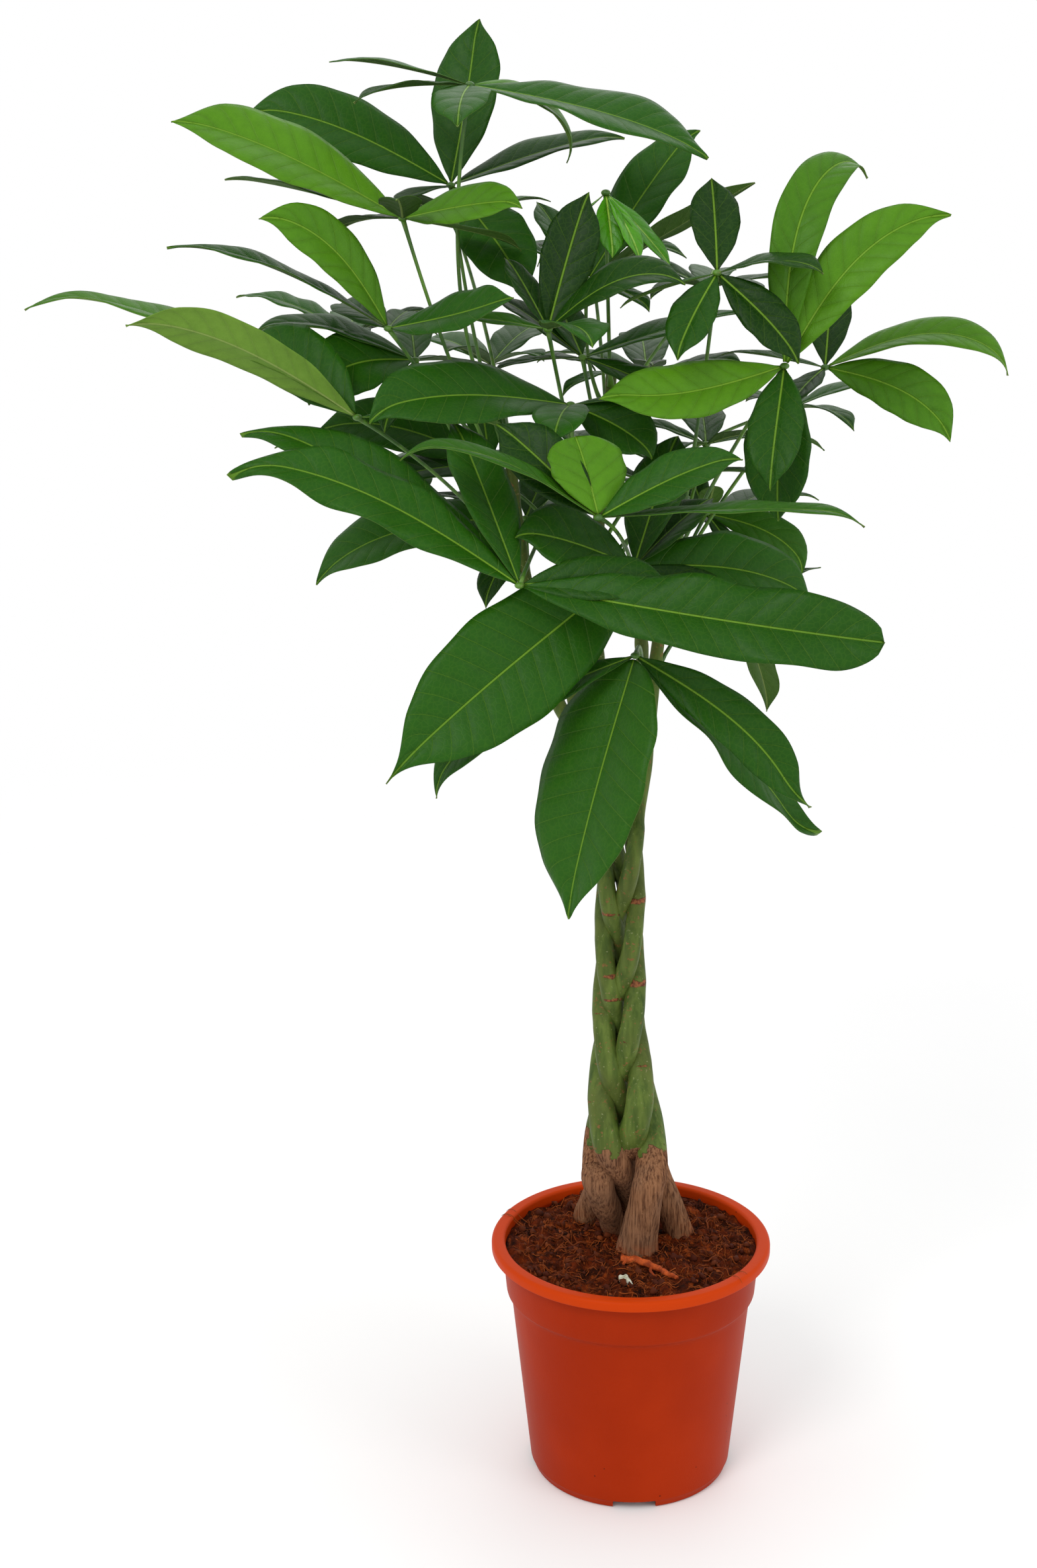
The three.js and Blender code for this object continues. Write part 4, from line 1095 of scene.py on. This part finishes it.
def grow_leaflet(bm, layers, hub, leaflet, habit):
    blade_layer, tone_layer = layers
    width = blade_width(leaflet) * habit["slim"]
    line = blade_line(hub, leaflet, habit)
    veins = max(5, round(leaflet[3] / VEIN_SPACING))
    along = max(20, min(72, veins * 4))
    across = 14 if width > 45 else 12 if width > 30 else 10
    made = bmesh.ops.create_grid(bm, x_segments=across, y_segments=along, size=1)
    for vert in made["verts"]:
        u, t = vert.co.x, (vert.co.y + 1) / 2
        share = t + 0.06 * sin(pi * t) * t
        place, tangent, up, side = line_at(line, share)
        half = width / 2 * outline(share, habit["wedge"], habit["blunt"])
        half = max(half, STALK_HALF_WIDTH * (1 - share ** 8))
        near = abs(u)
        hand = 0 if u < 0 else 1
        frill = sin(2 * pi * (share * habit["frills"] + habit["phase"][hand]))
        open_out = smooth(0.1, 0.35, share)
        phase = share * veins - near * VEIN_SWEEP * smooth(0, 0.3, share)
        pillow = 0.5 - 0.5 * cos(2 * pi * phase)
        window = smooth(0, 0.25, near) * (1 - near ** 3)
        lift = half * tan(rad(BLADE_FOLD)) * (1.2 * near - 0.2 * near ** 2)
        lift -= 0.1 * half * near ** 4
        lift += habit["wave"] * open_out * near ** 2 * frill
        lift += habit["quilt"] * open_out * window * pillow
        edge = 1 + 0.02 * near ** 4 * sin(9 * pi * share + habit["phase"][hand])
        vert.co = place + side * (u * half * edge) + up * lift
        vert[blade_layer] = (u * half, share, phase)
        vert[tone_layer] = habit["tone"]


def habits(name, index, leaflet):
    """How one leaflet differs from a plain one."""
    chance = random.Random(f"{name} {index}")
    width = blade_width(leaflet)
    habit = {
        "curl": chance.uniform(5, 38),
        "bend": chance.uniform(-3.5, 3.5),
        "twist": chance.uniform(-16, 16),
        "wave": chance.uniform(0.5, 1.3) * width / 40,
        "frills": chance.uniform(1.6, 3.4),
        "phase": (chance.random(), chance.random()),
        "quilt": 0.006 * width + 0.1,
        "wedge": BLADE_WEDGE,
        "blunt": 0.0,
        "slim": 1.0,
        "tone": clamp(0.28 + chance.uniform(-0.24, 0.26)),
    }
    habit.update(WAVY_LEAFLETS.get(name, {}).get(index, {}))
    # a listed tone holds painted light for backlit or glossy leaflets as well as the leaflet's own green
    if index in LEAFLET_TONES_AND_PAINTED_LIGHT.get(name, {}):
        habit["tone"] = LEAFLET_TONES_AND_PAINTED_LIGHT[name][index]
    return habit


def make_stalk(name, lines, stem, node, hub, material):
    line = lines[stem]
    root = min(line, key=lambda p: abs(p.z - node))
    outward = hub - root
    outward.z = 0
    outward.normalize()
    start = root + outward * (stem_radius(stem, node) - 0.6)
    reach = (hub - start).length
    bend = start + outward * (PETIOLE_OUT * reach)
    bend.z += PETIOLE_UP * reach
    count = max(10, round(reach / 8))
    points = []
    for k in range(count + 1):
        t = k / count
        points.append(start * (1 - t) ** 2 + bend * (2 * t * (1 - t)) + hub * t ** 2)

    def radius_at(share, point):
        foot = PETIOLE_FOOT_SWELL * exp(-share * reach / 7)
        head = PETIOLE_HEAD_SWELL * exp(-(1 - share) * reach / 8)
        return PETIOLE_RADIUS - PETIOLE_TAPER * share + foot + head

    bm = bmesh.new()
    grow_tube(bm, points, radius_at, 10)
    ball = Matrix.Translation(hub) @ Matrix.Diagonal((HUB_RADIUS, HUB_RADIUS, 0.7 * HUB_RADIUS, 1))
    bmesh.ops.create_icosphere(bm, subdivisions=3, radius=1, matrix=ball)
    face_outwards(bm)
    finish_piece(bm, name + "_stalk", "leaf", [material])


def make_leaf(name, lines, leaf, materials):
    stem, node, hub, leaflets = leaf
    hub = Vector(hub)
    bm = bmesh.new()
    layers = bm.verts.layers.float_vector.new("blade"), bm.verts.layers.float.new("tone")
    for index, leaflet in enumerate(leaflets):
        grow_leaflet(bm, layers, hub, leaflet, habits(name, index, leaflet))
    bmesh.ops.remove_doubles(bm, verts=bm.verts, dist=1e-3)
    slot = "young_leaf" if name == "leaf_young" else "leaf"
    faces = [materials[slot + "_upper"], materials["leaf_under"]]
    blades = finish_piece(bm, name + "_blades", slot, faces, name)
    skin = blades.modifiers.new("skin", "SOLIDIFY")
    skin.thickness = BLADE_THICKNESS * MM
    skin.offset = -1
    skin.material_offset = 1
    skin.material_offset_rim = 1
    make_stalk(name, lines, stem, node, hub, materials["stalk"])


def fan_of_leaflets(hub, turn, count, size):
    """Leaflets all round a hub, each a little unlike the next."""
    outward = degrees(atan2(hub[1], hub[0]))
    leaflets = []
    for i in range(count):
        bearing = turn + 360 * i / count
        length = size * (1 - FAN_SHORTENING * (1 - cos(rad(bearing - outward))))
        rise = FAN_RISE + FAN_RISE_CHANGE * sin(2.1 * i + turn)
        droop = FAN_DROOP + FAN_DROOP_CHANGE * cos(1.7 * i + turn)
        leaflets.append((bearing, rise, droop, length, FAN_ROLL * sin(3 * i)))
    return leaflets


def make_leaves(lines):
    materials = {name: blade_face(name, *look) for name, look in LEAF_FACES.items()}
    materials["stalk"] = stalk_green()
    for name, leaf in LEAVES.items():
        make_leaf(name, lines, leaf, materials)
    for i, (stem, node, hub, turn, count, size) in enumerate(BACK_LEAVES):
        leaf = (stem, node, hub, fan_of_leaflets(hub, turn, count, size))
        make_leaf(f"leaf_back_{i + 1}", lines, leaf, materials)


# ---- the stage, in metres ----

FLOOR_RADIUS = 40
LAMPS = [  # name, place, target, size, watts and colour
    ("key", (-1.3, -2.2, 2.8), (0, 0, 0.7), 1.3, 34, (1, 0.99, 0.97)),
    ("fill", (2.3, -1.7, 1.6), (0, 0, 0.5), 1.4, 12, (1, 1, 1)),
    ("back", (0.4, 2.4, 2.6), (0, 0, 0.8), 2.0, 10, (1, 1, 1)),
]
CAMERA_PLACE = (-0.0817, -1.578, 0.974)
CAMERA_DIP = 15.34
CAMERA_ROLL = -0.5


def area_light(name, place, target, size, watts, color):
    data = bpy.data.lights.new(name, "AREA")
    data.shape = "DISK"
    data.size = size
    data.energy = watts
    data.color = color
    lamp = put_in_scene(name, data)
    lamp.location = place
    lamp.rotation_mode = "QUATERNION"
    lamp.rotation_quaternion = (Vector(target) - Vector(place)).to_track_quat("-Z", "Y")


def make_stage():
    bm = bmesh.new()
    bmesh.ops.create_circle(bm, cap_ends=True, segments=64, radius=FLOOR_RADIUS)
    floor = mesh_object(bm, "floor", 1)
    floor.data.materials.append(pale_floor())
    world = bpy.data.worlds.new("studio")
    world.use_nodes = True
    background = world.node_tree.nodes["Background"]
    background.inputs["Color"].default_value = (1, 1, 1, 1)
    background.inputs["Strength"].default_value = 1.0
    bpy.context.scene.world = world
    for lamp in LAMPS:
        area_light(*lamp)


def make_camera():
    data = bpy.data.cameras.new("camera")
    data.sensor_width = 36
    data.lens = 52.54
    data.clip_start = 0.05
    data.clip_end = 100
    camera = put_in_scene("camera", data)
    camera.matrix_world = (Matrix.Translation(CAMERA_PLACE)
                           @ Matrix.Rotation(rad(90 - CAMERA_DIP), 4, "X")
                           @ Matrix.Rotation(rad(CAMERA_ROLL), 4, "Z"))
    bpy.context.scene.camera = camera
    bpy.context.scene.view_settings.view_transform = "Standard"


make_stage()
make_camera()
make_pot()
stem_lines = make_stems()
make_soil()
scatter_crumbs()
scatter_fibres()
make_surface_root()
make_chip()
make_leaves(stem_lines)
